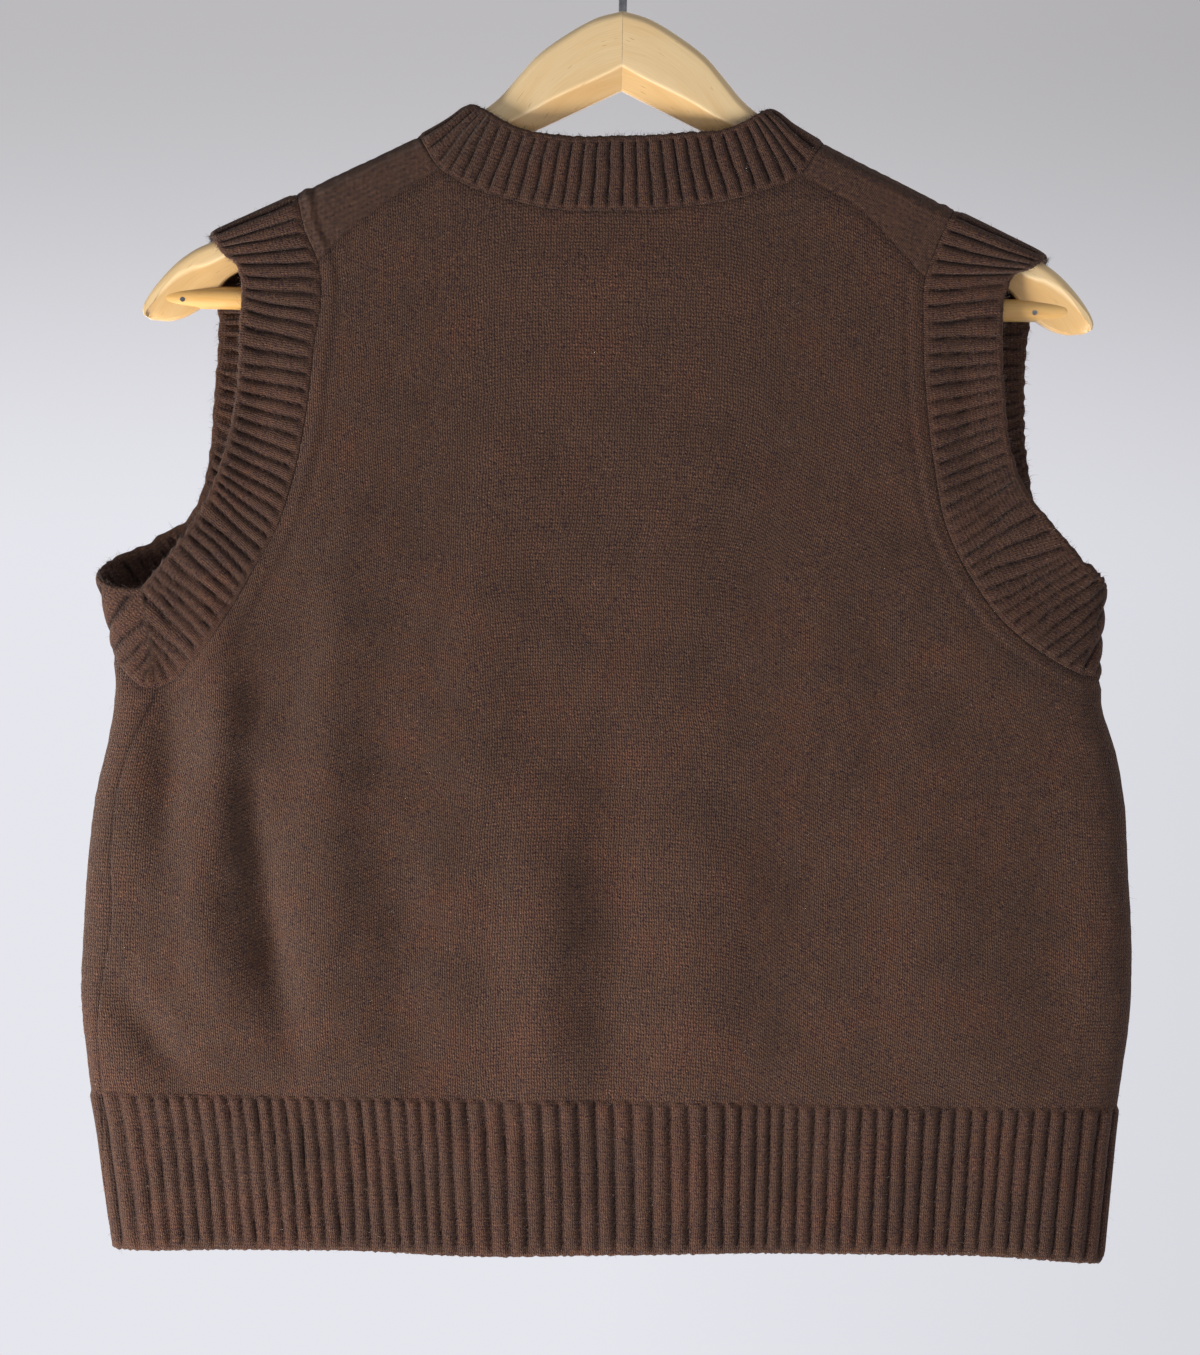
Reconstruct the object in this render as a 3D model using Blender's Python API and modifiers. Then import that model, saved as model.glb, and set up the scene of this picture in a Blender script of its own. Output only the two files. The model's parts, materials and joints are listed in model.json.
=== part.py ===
"""A knitted sweater vest on a wooden hanger with a trouser bar.

Metres, +Z up. The origin is the hook's hang point, the inner top of its wire. The vest's back faces -Y and its V neck
faces +Y. Tables and sizes below are in millimetres, and MM turns them into metres where a mesh is made.

The knit is one flattened tube round the hanger. Two numbers place a point on it. `turn` runs round the body: 0 is the
left side fold, 1 the right side fold, turns from 0 to 1 lie on the back and from 1 to 2 on the front. `drape` is the
length of cloth from the fold over the hanger's top, and it changes sign where the cloth passes over that fold.
"""

import math

import bmesh
import bpy
import numpy as np

MM = 0.001
KNIT_WALL = 2.4
RIB_WALL = 3.0
SEAM_HALF_GAP = 0.44

# The hanger.
ARM_HALF_THICKNESS = 6.5
ARM_TOP_ROUND = 4.5
ARM_KEEL_HALF = 2.5
ARM_JOINT_X = 0.2
BAR_RADIUS = 5.4
BAR_Z = -200.0
BAR_LEFT_X = -217.0
BAR_RIGHT_X = 212.0
BAR_CLEARANCE = 0.35
PIN_RADIUS = 1.2
PIN_DEPTH = 4.6
PIN_PROUD = 0.2
PIN_CLEARANCE = 0.25
PIN_HOLE_EXTRA = 4.5
PIN_BELOW_BAR_AXIS = 1.5
PIN_LEFT_X = -204.6
PIN_RIGHT_X = 195.6
WIRE_RADIUS = 2.0
HOOK_INNER_RADIUS = 21.0
HOOK_STEM_FOOT_Z = -84.0
HOOK_STEM_TOP_Z = -56.0
HOOK_JOIN_DEGREES = -62.0
HOOK_TIP_DEGREES = 206.0
HOOK_BEND_REACH = 17.6
STEM_CLEARANCE = 0.3
STEM_HOLE_LENGTH = 60.0

# The cloth's turn over the hanger, on each side of its top: the drop, and the length of cloth in it.
TURN_HEIGHT = 7.5
TURN_LENGTH = 13.7

# One row per station of a hanger arm, from the joint to the tip: the upper edge, the lower edge, and the height of
# the sloped underside.
ARM_COLUMNS = ("top_x", "top_z", "low_x", "low_z", "slope_height")
ARM_ROWS = (
    (0.2, -62.2, 0.2, -99.6, 11.6),
    (13.0, -66.0, 11.0, -105.0, 11.0),
    (26.5, -73.8, 22.0, -110.4, 11.0),
    (39.0, -83.0, 31.0, -114.8, 10.5),
    (48.0, -93.0, 38.0, -118.2, 9.5),
    (56.5, -103.0, 46.0, -122.0, 9.0),
    (64.0, -109.3, 54.0, -126.0, 9.0),
    (72.0, -113.5, 63.0, -130.4, 9.0),
    (90.0, -124.3, 81.0, -139.2, 9.0),
    (105.0, -132.0, 96.0, -146.5, 9.0),
    (130.0, -144.2, 121.0, -158.8, 9.0),
    (154.0, -156.0, 145.0, -170.5, 9.0),
    (180.0, -168.3, 170.0, -182.8, 9.0),
    (192.0, -174.0, 183.0, -190.0, 9.5),
    (200.0, -178.0, 189.0, -197.0, 12.0),
    (208.0, -184.0, 196.0, -204.5, 14.0),
    (215.5, -192.0, 204.0, -209.3, 13.0),
    (221.0, -199.7, 211.0, -211.2, 8.5),
    (223.3, -205.5, 216.5, -211.0, 4.5),
    (222.8, -209.0, 219.5, -210.8, 1.5),
)

# The line over which the cloth is folded on the hanger, by its distance from the middle. Inside the neck it is only
# the line from which drape is counted.
FOLD_COLUMNS = ("x", "z")
FOLD_ROWS = (
    (0.0, -100.0),
    (40.0, -101.0),
    (56.0, -102.6),
    (66.0, -105.8),
    (72.0, -109.2),
    (80.0, -115.2),
    (90.0, -121.3),
    (105.0, -129.0),
    (130.0, -141.2),
    (154.0, -153.0),
    (180.0, -165.3),
    (192.0, -171.0),
    (204.0, -177.0),
    (220.0, -184.0),
)

# The side folds and the half depth of the body at each height. Above the underarms the sides are open, and the two
# x columns only say how fast the cloth there closes towards the sides.
BODY_COLUMNS = ("z", "left_x", "right_x", "half_depth")
BODY_ROWS = (
    (-652.0, -229.5, 233.3, 11.0),
    (-610.0, -235.3, 236.6, 11.6),
    (-587.0, -238.8, 238.5, 12.3),
    (-574.0, -241.3, 239.8, 12.8),
    (-556.0, -243.8, 242.2, 13.4),
    (-530.0, -246.7, 245.2, 13.7),
    (-503.0, -246.2, 245.6, 13.6),
    (-460.0, -244.0, 243.0, 13.2),
    (-432.0, -240.8, 241.2, 12.8),
    (-409.0, -235.8, 237.0, 12.4),
    (-386.0, -233.0, 229.8, 12.0),
    (-366.0, -234.3, 228.4, 11.7),
    (-348.0, -238.2, 229.4, 11.4),
    (-331.0, -243.0, 231.0, 11.1),
    (-300.0, -252.0, 246.0, 10.7),
    (-250.0, -262.0, 262.0, 10.2),
    (-200.0, -266.0, 266.0, 9.9),
    (-100.0, -266.0, 266.0, 9.8),
)

RIB_TOP_Z = -573.6
# The lower edge of the hem, which waves a little.
HEM_COLUMNS = ("x", "z")
HEM_ROWS = (
    (-232.0, -647.8),
    (-130.0, -645.8),
    (-40.0, -647.6),
    (0.0, -646.2),
    (130.0, -643.6),
    (188.0, -644.2),
    (234.0, -647.6),
)

# Seams and free edges, as points seen square on. Columns: x, z, and the face, -1 on the back, 1 on the front and 0 on
# a fold. Each armhole starts on the shoulder fold, goes down the back, round the underarm and up the front.
LEFT_SIDE_SEAM = (
    (-230.8, -647.0, -1),
    (-233.6, -612.0, -1),
    (-236.0, -574.0, -1),
    (-238.0, -545.0, -1),
    (-235.8, -519.0, -1),
    (-232.0, -492.0, -1),
    (-233.0, -468.0, -1),
    (-231.6, -437.0, -1),
    (-225.0, -411.0, -1),
    (-213.0, -383.6, -1),
)
RIGHT_SIDE_SEAM = (
    (227.0, -647.0, 1),
    (229.5, -612.0, 1),
    (232.0, -574.0, 1),
    (236.6, -530.0, 1),
    (236.0, -480.0, 1),
    (233.0, -440.0, 1),
    (226.0, -408.0, 1),
    (214.0, -378.0, 1),
)
LEFT_ARMHOLE_SEAM = {
    "shoulder_back": (
        (-152.0, -152.0, 0),
        (-148.0, -167.0, -1),
        (-141.0, -184.0, -1),
    ),
    "back": (
        (-141.0, -184.0, -1),
        (-139.3, -199.0, -1),
        (-142.3, -224.0, -1),
        (-145.3, -256.0, -1),
        (-151.0, -286.0, -1),
        (-158.0, -308.0, -1),
        (-168.0, -327.0, -1),
        (-179.0, -347.0, -1),
        (-194.0, -368.5, -1),
        (-213.0, -383.6, -1),
    ),
    "front": (
        (-213.0, -383.6, -1),
        (-234.5, -366.5, 0),
        (-220.0, -355.0, 1),
        (-204.0, -344.0, 1),
        (-190.0, -330.0, 1),
        (-179.0, -313.0, 1),
        (-171.0, -295.0, 1),
        (-163.0, -270.0, 1),
        (-158.0, -246.0, 1),
        (-155.5, -222.0, 1),
        (-155.0, -198.0, 1),
        (-155.5, -176.0, 1),
        (-152.0, -152.0, 0),
    ),
}
LEFT_ARMHOLE_EDGE = {
    "shoulder_back": (
        (-192.5, -171.2, 0),
        (-186.3, -179.6, -1),
        (-179.2, -185.6, -1),
    ),
    "back": (
        (-179.2, -185.6, -1),
        (-176.6, -195.0, -1),
        (-177.0, -210.0, -1),
        (-178.8, -249.0, -1),
        (-183.0, -272.0, -1),
        (-193.5, -299.5, -1),
        (-204.0, -315.5, -1),
        (-215.0, -329.5, -1),
        (-222.6, -337.0, -1),
    ),
    "front": (
        (-222.6, -337.0, -1),
        (-243.0, -331.0, 0),
        (-227.5, -318.5, 1),
        (-214.0, -310.5, 1),
        (-204.0, -305.0, 1),
        (-197.5, -294.0, 1),
        (-192.8, -273.0, 1),
        (-191.2, -249.0, 1),
        (-189.4, -212.0, 1),
        (-191.0, -188.0, 1),
        (-192.5, -171.2, 0),
    ),
}
RIGHT_ARMHOLE_SEAM = {
    "shoulder_back": (
        (158.0, -155.0, 0),
        (149.0, -171.5, -1),
        (143.6, -187.0, -1),
    ),
    "back": (
        (143.6, -187.0, -1),
        (143.0, -208.0, -1),
        (144.3, -236.0, -1),
        (148.6, -272.0, -1),
        (155.5, -304.0, -1),
        (168.6, -329.0, -1),
        (184.0, -348.5, -1),
        (206.0, -364.5, -1),
        (228.8, -373.5, 0),
        (214.0, -378.0, 1),
    ),
    "front": (
        (214.0, -378.0, 1),
        (200.0, -367.0, 1),
        (187.0, -351.0, 1),
        (177.0, -332.0, 1),
        (169.0, -308.0, 1),
        (163.0, -280.0, 1),
        (159.5, -250.0, 1),
        (158.5, -220.0, 1),
        (159.0, -195.0, 1),
        (160.5, -175.0, 1),
        (158.0, -155.0, 0),
    ),
}
RIGHT_ARMHOLE_EDGE = {
    "shoulder_back": (
        (201.5, -175.6, 0),
        (194.0, -181.0, -1),
        (185.0, -185.0, -1),
    ),
    "back": (
        (185.0, -185.0, -1),
        (181.4, -193.5, -1),
        (180.2, -214.0, -1),
        (181.8, -243.0, -1),
        (184.8, -266.0, -1),
        (192.0, -284.5, -1),
        (203.6, -299.5, -1),
        (216.0, -313.5, -1),
        (231.0, -331.0, 0),
        (213.5, -337.0, 1),
    ),
    "front": (
        (213.5, -337.0, 1),
        (206.0, -325.0, 1),
        (201.5, -306.0, 1),
        (197.4, -283.0, 1),
        (194.3, -262.0, 1),
        (193.6, -243.0, 1),
        (194.6, -212.0, 1),
        (198.5, -191.0, 1),
        (201.5, -175.6, 0),
    ),
}
# The neck, from the left end of the back shoulder seam. "back" runs across to the right one, and "front" from the
# right one over the shoulder fold and down to the point of the V. The left half of "front" is its mirror image.
NECK_SEAM = {
    "back": (
        (-84.0, -139.5, -1),
        (-69.0, -148.0, -1),
        (-40.0, -155.8, -1),
        (-3.0, -157.4, -1),
        (32.0, -154.8, -1),
        (62.0, -148.6, -1),
        (84.0, -139.5, -1),
    ),
    "front": (
        (84.0, -139.5, -1),
        (95.5, -124.3, 0),
        (94.5, -150.0, 1),
        (88.0, -190.0, 1),
        (75.0, -235.0, 1),
        (56.0, -280.0, 1),
        (33.0, -322.0, 1),
        (0.0, -368.0, 1),
    ),
}
NECK_EDGE = {
    "back": (
        (-63.0, -111.5, -1),
        (-53.0, -117.0, -1),
        (-25.0, -122.6, -1),
        (-4.0, -122.4, -1),
        (28.0, -120.4, -1),
        (54.0, -116.4, -1),
        (63.0, -111.5, -1),
    ),
    "front": (
        (63.0, -111.5, -1),
        (71.5, -108.9, 0),
        (68.0, -132.0, 1),
        (55.0, -180.0, 1),
        (42.0, -223.0, 1),
        (25.0, -265.0, 1),
        (0.0, -308.0, 1),
    ),
}
LEFT_SHOULDER_SEAM = (
    (-141.0, -184.0, -1),
    (-126.5, -169.0, -1),
    (-101.0, -149.5, -1),
    (-84.0, -139.5, -1),
)
RIGHT_SHOULDER_SEAM = (
    (84.0, -139.5, -1),
    (110.0, -153.5, -1),
    (130.0, -172.5, -1),
    (143.6, -187.0, -1),
)

# The largest soft folds: each is a ridge (positive height) or a trough along a line on one face, -1 back, 1 front.
CREASE_COLUMNS = ("face", "x_0", "z_0", "x_1", "z_1", "half_width", "height")
CREASE_ROWS = (
    (-1, -196.0, -372.0, -186.0, -470.0, 15.0, 4.6),
    (-1, -216.0, -380.0, -214.0, -462.0, 13.0, -3.4),
    (-1, -184.0, -430.0, -158.0, -566.0, 11.0, -3.6),
    (-1, -126.0, -330.0, -128.0, -560.0, 20.0, 2.6),
    (-1, -30.0, -440.0, -26.0, -560.0, 26.0, 2.8),
    (-1, 2.0, -390.0, 2.0, -585.0, 18.0, -4.0),
    (-1, 46.0, -450.0, 54.0, -560.0, 26.0, 2.2),
    (1, -60.0, -380.0, -52.0, -566.0, 24.0, 3.2),
    (1, 36.0, -400.0, 44.0, -570.0, 20.0, -3.4),
    (1, 150.0, -380.0, 128.0, -560.0, 22.0, 2.8),
    (1, -160.0, -390.0, -142.0, -560.0, 20.0, -2.8),
)

SIDE_ROWS = 9
SHOULDER_ROWS = 7
BACK_ARMHOLE_ROWS = 12
FRONT_ARMHOLE_ROWS = 15
SHOULDER_COLUMNS = 6
NECK_COLUMNS = 14
CENTRE_ROWS = 9
HALF_FRONT_COLUMNS = 13
HEM_ROW_COUNT = 2
BAND_ROW_COUNT = 2
PATH_STEPS = 800
# One turn as a length, and how often a grid of cloth is evened out.
TURN_TO_MM = 480.0
EVENING_ROUNDS = 150
# How much closer the sections lie where the cloth turns over the hanger and round a side fold.
OVER_WEIGHT = 4.0
SIDE_WEIGHT = 7.0
SIDE_FOLD_SINE = 0.25

CLOTH_COLOUR = (0.062, 0.034, 0.024, 1.0)
RIB_COLOUR = (0.055, 0.030, 0.021, 1.0)
BEECH_COLOUR = (0.76, 0.52, 0.25, 1.0)
BAR_COLOUR = (0.74, 0.45, 0.17, 1.0)
STEEL_COLOUR = (0.55, 0.55, 0.55, 1.0)


def columns(names, rows):
    """The table's columns as arrays, by name."""
    return dict(zip(names, np.array(rows, float).T))


def smooth_curve(at, xs, ys):
    """A curve through the points (xs, ys), read at `at`: a cubic between each two, with the slopes of their neighbours.
    Past the ends it stays level."""
    slopes = np.gradient(ys, xs)
    i = np.clip(np.searchsorted(xs, at) - 1, 0, len(xs) - 2)
    span = xs[i + 1] - xs[i]
    t = np.clip((at - xs[i]) / span, 0, 1)
    ends = (2 * t**3 - 3 * t**2 + 1) * ys[i] + (3 * t**2 - 2 * t**3) * ys[i + 1]
    return ends + span * ((t**3 - 2 * t**2 + t) * slopes[i] + (t**3 - t**2) * slopes[i + 1])


BODY = columns(BODY_COLUMNS, BODY_ROWS)
FOLD = columns(FOLD_COLUMNS, FOLD_ROWS)
HEM = columns(HEM_COLUMNS, HEM_ROWS)


def body_at(z, name):
    return smooth_curve(z, BODY["z"], BODY[name])


def fold_z(x):
    return smooth_curve(np.abs(x), FOLD["x"], FOLD["z"])


def middle_and_half_width(z):
    left, right = body_at(z, "left_x"), body_at(z, "right_x")
    return (left + right) / 2, (right - left) / 2


def crease_height(x, z, face):
    """How far the folds push the cloth out: each is a bell across its line, faded in and out along it."""
    total = np.zeros(np.broadcast(x, z).shape)
    for row in CREASE_ROWS:
        crease = dict(zip(CREASE_COLUMNS, row))
        along_x, along_z = crease["x_1"] - crease["x_0"], crease["z_1"] - crease["z_0"]
        length = math.hypot(along_x, along_z)
        from_x, from_z = x - crease["x_0"], z - crease["z_0"]
        along = (from_x * along_x + from_z * along_z) / length**2
        across = (from_x * along_z - from_z * along_x) / length
        fade = np.sin(math.pi * np.clip(along, 0, 1)) ** 0.8
        bell = np.exp(-((across / crease["half_width"]) ** 2))
        total += np.where(face == crease["face"], crease["height"] * bell * fade, 0)
    return total


def cloth_point(turn, drape):
    """The 3-D point of a (turn, drape) pair.

    x = middle - half width * q, where q = cos(pi turn), and y is half depth * sqrt(1 - q^16), below 0 on the back: a
    flat tube with round side folds. Over the hanger the cloth turns through a quarter of an ellipse on each side, so y
    also takes the sine of that turn's angle, and z the cosine."""
    angle = np.clip(drape / TURN_LENGTH, -1, 1) * math.pi / 2
    straight = np.maximum(np.abs(drape) - TURN_LENGTH, 0)
    drop = TURN_HEIGHT * (1 - np.cos(angle)) + straight
    q = np.cos(math.pi * turn)
    x = np.zeros_like(drop)
    z = fold_z(x) - drop
    for _ in range(12):
        middle, half_width = middle_and_half_width(z)
        x = middle - half_width * q
        z = fold_z(x) - drop
    shape = -np.sin(math.pi * turn) * np.sqrt((1 + q**2) * (1 + q**4) * (1 + q**8))
    flat = np.abs(shape) * np.abs(np.sin(angle))
    face = np.sign(shape * np.sin(angle))
    out = body_at(z, "half_depth") * flat + crease_height(x, z, face) * flat**2
    return np.stack([x, face * out, z], -1)


def turn_and_drape(x, z, face, around):
    """The (turn, drape) pair of a point seen square on.

    around is "left" or "right" for a path that goes round that side fold, with the turn there counted through it,
    or "over" for a path that goes over the hanger, with the front's turn and a drape below 0 on the back."""
    middle, half_width = middle_and_half_width(z)
    back_turn = math.acos(float(np.clip((middle - x) / half_width, -1, 1))) / math.pi
    drop = max(float(fold_z(x)) - z, 0.0)
    angle = math.acos(max(1 - drop / TURN_HEIGHT, 0.0))
    drape = TURN_LENGTH * angle / (math.pi / 2) + max(drop - TURN_HEIGHT, 0.0)
    if around == "over":
        return (2 - back_turn, drape if face >= 0 else -drape)
    if around == "left":
        return (back_turn if face <= 0 else -back_turn, drape)
    return (back_turn if face <= 0 else 2 - back_turn, drape)


def smooth_path(pairs):
    """A dense path in (turn, drape) through the given pairs, with knots spaced by their distance in 3-D. Also the
    place of each given pair in it."""
    pairs = np.array(pairs, float)
    points = cloth_point(pairs[:, 0], pairs[:, 1])
    steps = np.linalg.norm(np.diff(points, axis=0), axis=1)
    knots = np.concatenate([[0], np.cumsum(np.maximum(steps, 1.0))])
    at = np.linspace(0, knots[-1], PATH_STEPS + 1)
    path = np.stack([smooth_curve(at, knots, pairs[:, i]) for i in range(2)], -1)
    places = np.round(knots / knots[-1] * PATH_STEPS).astype(int)
    path[places] = pairs
    return path, places


def spread(path, count):
    """count + 1 pairs along a dense path, close together where it goes over the hanger or round a side fold."""
    points = cloth_point(path[:, 0], path[:, 1])
    steps = np.linalg.norm(np.diff(points, axis=0), axis=1)
    middle = (path[1:] + path[:-1]) / 2
    over = np.abs(middle[:, 1]) < TURN_LENGTH + 2
    side = np.abs(np.sin(math.pi * middle[:, 0])) < SIDE_FOLD_SINE
    weight = 1 + OVER_WEIGHT * over + SIDE_WEIGHT * (side & ~over)
    run = np.concatenate([[0], np.cumsum(steps * weight)])
    wanted = np.linspace(0, run[-1], count + 1)
    return np.stack([np.interp(wanted, run, path[:, i]) for i in range(2)], -1)


def pairs_of(rows, around):
    return [turn_and_drape(x, z, face, around) for x, z, face in rows]


def armhole_paths(sections, around):
    """An armhole's seam or free edge as three arrays of pairs. Its smooth path runs through all the rows at once, and
    goes on over the shoulder fold at both ends, where (turn, drape) and (-turn, -drape) are the same point."""
    names = ("shoulder_back", "back", "front")
    whole = []
    for name in names:
        rows = sections[name]
        whole += rows if not whole else rows[1:]
    pairs = pairs_of(whole, around)
    pairs[0] = (pairs[0][0], 0.0)
    last_turn = -pairs[0][0] if around == "left" else 2 - pairs[0][0]
    pairs[-1] = (last_turn, 0.0)
    flip = (lambda p: (-p[0], -p[1])) if around == "left" else (lambda p: (2 - p[0], -p[1]))
    extended = [flip(pairs[-2])] + pairs + [flip(pairs[1])]
    path, places = smooth_path(extended)
    keys = [1, len(sections["shoulder_back"])]
    keys.append(keys[-1] + len(sections["back"]) - 1)
    keys.append(len(extended) - 2)
    cuts = places[keys]
    counts = (SHOULDER_ROWS, BACK_ARMHOLE_ROWS, FRONT_ARMHOLE_ROWS)
    parts = {}
    for name, start, end, count in zip(names, cuts, cuts[1:], counts):
        parts[name] = spread(path[start : end + 1], count)
    for name, following in zip(names, names[1:]):
        parts[following][0] = parts[name][-1]
    return parts


def neck_paths(sections):
    """The neck's seam or free edge: across the back, then from its right end over the shoulder to the V."""
    whole = list(sections["back"]) + list(sections["front"][1:])
    pairs = pairs_of(whole, "over")
    fold = len(sections["back"])
    pairs[fold] = (pairs[fold][0], 0.0)
    path, places = smooth_path(pairs)
    corner = places[fold - 1]
    across = spread(path[: corner + 1], NECK_COLUMNS)
    down = spread(path[corner:], FRONT_ROWS - CENTRE_ROWS)
    down[-1] = (1.5, down[-1][1])
    return {"back": across, "front": down}


def mirrored(pairs):
    """The same path on the other side of the middle, on the front's turns."""
    return np.stack([3 - pairs[:, 0], pairs[:, 1]], -1)


def patch(bottom, top, start, end):
    """A grid of pairs between four edges: the two ruled surfaces between facing edges, less the one between the
    corners."""
    u = np.linspace(0, 1, len(bottom))[None, :, None]
    v = np.linspace(0, 1, len(start))[:, None, None]
    ruled = (1 - v) * bottom[None] + v * top[None] + (1 - u) * start[:, None] + u * end[:, None]
    corners = (1 - v) * ((1 - u) * bottom[0] + u * bottom[-1]) + v * ((1 - u) * top[0] + u * top[-1])
    return evened(ruled - corners)


def evened(grid):
    """The grid with its inner points moved so that no cell folds over: Winslow's smoothing, edges held."""
    to_mm = np.array([TURN_TO_MM, 1.0])
    grid = grid * to_mm
    for _ in range(EVENING_ROUNDS):
        along = (grid[1:-1, 2:] - grid[1:-1, :-2]) / 2
        up = (grid[2:, 1:-1] - grid[:-2, 1:-1]) / 2
        up_squared = (up**2).sum(-1, keepdims=True)
        along_squared = (along**2).sum(-1, keepdims=True)
        shear = (along * up).sum(-1, keepdims=True)
        diagonals = grid[2:, 2:] - grid[2:, :-2] - grid[:-2, 2:] + grid[:-2, :-2]
        moved = up_squared * (grid[1:-1, 2:] + grid[1:-1, :-2])
        moved = moved + along_squared * (grid[2:, 1:-1] + grid[:-2, 1:-1]) - shear / 2 * diagonals
        grid[1:-1, 1:-1] = moved / (2 * (up_squared + along_squared))
    return grid / to_mm


def trimmed(points, edges):
    """The grid with the named edges drawn in by half a seam's gap."""
    points = points.copy()
    inward = {
        "bottom": (np.s_[0], np.s_[1]),
        "top": (np.s_[-1], np.s_[-2]),
        "start": (np.s_[:, 0], np.s_[:, 1]),
        "end": (np.s_[:, -1], np.s_[:, -2]),
    }
    for edge in edges:
        outer, inner = inward[edge]
        points[outer] = drawn_in(points[outer], points[inner])
    return points


def drawn_in(edge, inner):
    """An edge's points moved half a seam's gap towards the next row, square to the edge."""
    tangent = np.gradient(edge, axis=0)
    tangent /= np.linalg.norm(tangent, axis=-1, keepdims=True)
    way = inner - edge
    way = way - (way * tangent).sum(-1, keepdims=True) * tangent
    return edge + way / np.linalg.norm(way, axis=-1, keepdims=True) * SEAM_HALF_GAP


def grid_faces(rows, row_length, closed):
    """The quads of a grid of rows, closed into a loop along each row or open."""
    i = np.arange(rows - 1)[:, None]
    j = np.arange(row_length if closed else row_length - 1)[None, :]
    following = (j + 1) % row_length
    corners = (i * row_length + j, i * row_length + following)
    upper = ((i + 1) * row_length + following, (i + 1) * row_length + j)
    return np.stack(corners + upper, -1).reshape(-1, 4)


def finished_object(name, mesh, material, collection):
    mesh.materials.append(material)
    obj = bpy.data.objects.new(name, mesh)
    collection.objects.link(obj)
    return obj


def cloth_object(name, grids, wall, material, collection, closed=False, flip=False):
    """One knitted piece: its middle surface from one or more grids, welded where they meet, with a Solidify wall."""
    mesh = bpy.data.meshes.new(name)
    shape = bmesh.new()
    for points in grids:
        flat = points.reshape(-1, 3) * MM
        made = [shape.verts.new(co) for co in flat]
        for quad in grid_faces(points.shape[0], points.shape[1], closed):
            shape.faces.new([made[i] for i in (quad[::-1] if flip else quad)])
    bmesh.ops.remove_doubles(shape, verts=shape.verts, dist=1e-6)
    shape.to_mesh(mesh)
    shape.free()
    mesh.shade_smooth()
    obj = finished_object(name, mesh, material, collection)
    solidify = obj.modifiers.new("wall", "SOLIDIFY")
    solidify.thickness = wall * MM
    solidify.offset = 0
    solidify.use_even_offset = False
    return obj


def principled(name, colour, roughness, metallic=0.0):
    material = bpy.data.materials.new(name)
    material.use_nodes = True
    shader = material.node_tree.nodes["Principled BSDF"]
    shader.inputs["Base Color"].default_value = colour
    shader.inputs["Roughness"].default_value = roughness
    shader.inputs["Metallic"].default_value = metallic
    return material


FRONT_ROWS = SIDE_ROWS + FRONT_ARMHOLE_ROWS + SHOULDER_ROWS


def side_seam_path(rows, around, above_rib):
    """The side seam's pairs above the rib, or below it."""
    path, _ = smooth_path(pairs_of(rows, around))
    z = cloth_point(path[:, 0], path[:, 1])[:, 2]
    inside = path[z >= RIB_TOP_Z] if above_rib else path[z <= RIB_TOP_Z]
    return spread(inside, SIDE_ROWS if above_rib else HEM_ROW_COUNT)


def level_row(turns, z):
    """Pairs at the given turns whose points all lie at height z, which may be one number for each."""
    middle, half_width = middle_and_half_width(z)
    x = middle - half_width * np.cos(math.pi * turns)
    return np.stack([turns, fold_z(x) - z + TURN_LENGTH - TURN_HEIGHT], -1)


def hem_z(turns):
    middle, half_width = middle_and_half_width(np.full_like(turns, HEM["z"].mean()))
    return smooth_curve(middle - half_width * np.cos(math.pi * turns), HEM["x"], HEM["z"])


def lower_edge(first, last, count):
    """A panel's edge at the rib's top, from one turn to another."""
    return spread(level_row(np.linspace(first, last, PATH_STEPS), RIB_TOP_Z), count)


def make_back(seams, material, collection):
    left = np.concatenate([seams["left_side"], seams["left_armhole"]["back"][::-1][1:]])
    right = np.concatenate([seams["right_side"], seams["right_armhole"]["back"][::-1][1:]])
    neck = seams["neck"]["back"]
    shoulders = seams["left_shoulder"], seams["right_shoulder"]
    top = np.concatenate([shoulders[0], neck[1:-1], shoulders[1]])
    top = np.stack([2 - top[:, 0], -top[:, 1]], -1)
    bottom = lower_edge(left[0, 0], right[0, 0], len(top) - 1)
    grid = patch(bottom, top, left, right)
    points = trimmed(cloth_point(grid[..., 0], grid[..., 1]), ("bottom", "top", "start", "end"))
    return cloth_object("back", [points], KNIT_WALL, material, collection)


def make_front(seams, material, collection):
    """Two halves, from each side to the middle, welded below the V. The shoulders run over the hanger to the seam on
    the back."""
    halves = []
    for side in ("right", "left"):
        armhole = seams[side + "_armhole"]
        over = armhole["shoulder_back"]
        if side == "right":
            outer = [seams["right_side"], armhole["front"][1:], np.stack([2 - over[1:, 0], -over[1:, 1]], -1)]
            inner_upper = seams["neck"]["front"][::-1]
            shoulder = seams["right_shoulder"][::-1]
        else:
            outer = [seams["left_side"], armhole["front"][1:], np.stack([-over[1:, 0], -over[1:, 1]], -1)]
            outer = [np.stack([part[:, 0] + 2, part[:, 1]], -1) for part in outer]
            inner_upper = mirrored(seams["neck"]["front"])[::-1]
            shoulder = seams["left_shoulder"]
        outer = np.concatenate(outer)
        low = level_row(np.array([1.5]), RIB_TOP_Z)[0]
        centre = np.linspace(low, inner_upper[0], CENTRE_ROWS + 1)
        inner = np.concatenate([centre, inner_upper[1:]])
        top = spread(shoulder, HALF_FRONT_COLUMNS)
        bottom = lower_edge(outer[0, 0], inner[0, 0], HALF_FRONT_COLUMNS)
        grid = patch(bottom, top, outer, inner)
        points = trimmed(cloth_point(grid[..., 0], grid[..., 1]), ("bottom", "top", "start"))
        neck_side = np.s_[CENTRE_ROWS + 1 :]
        points[neck_side, -1] = drawn_in(points[neck_side, -1], points[neck_side, -2])
        points[CENTRE_ROWS, -1, 2] -= 2 * SEAM_HALF_GAP
        halves.append(points if side == "right" else points[:, ::-1])
    return cloth_object("front", halves, KNIT_WALL, material, collection)


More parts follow.
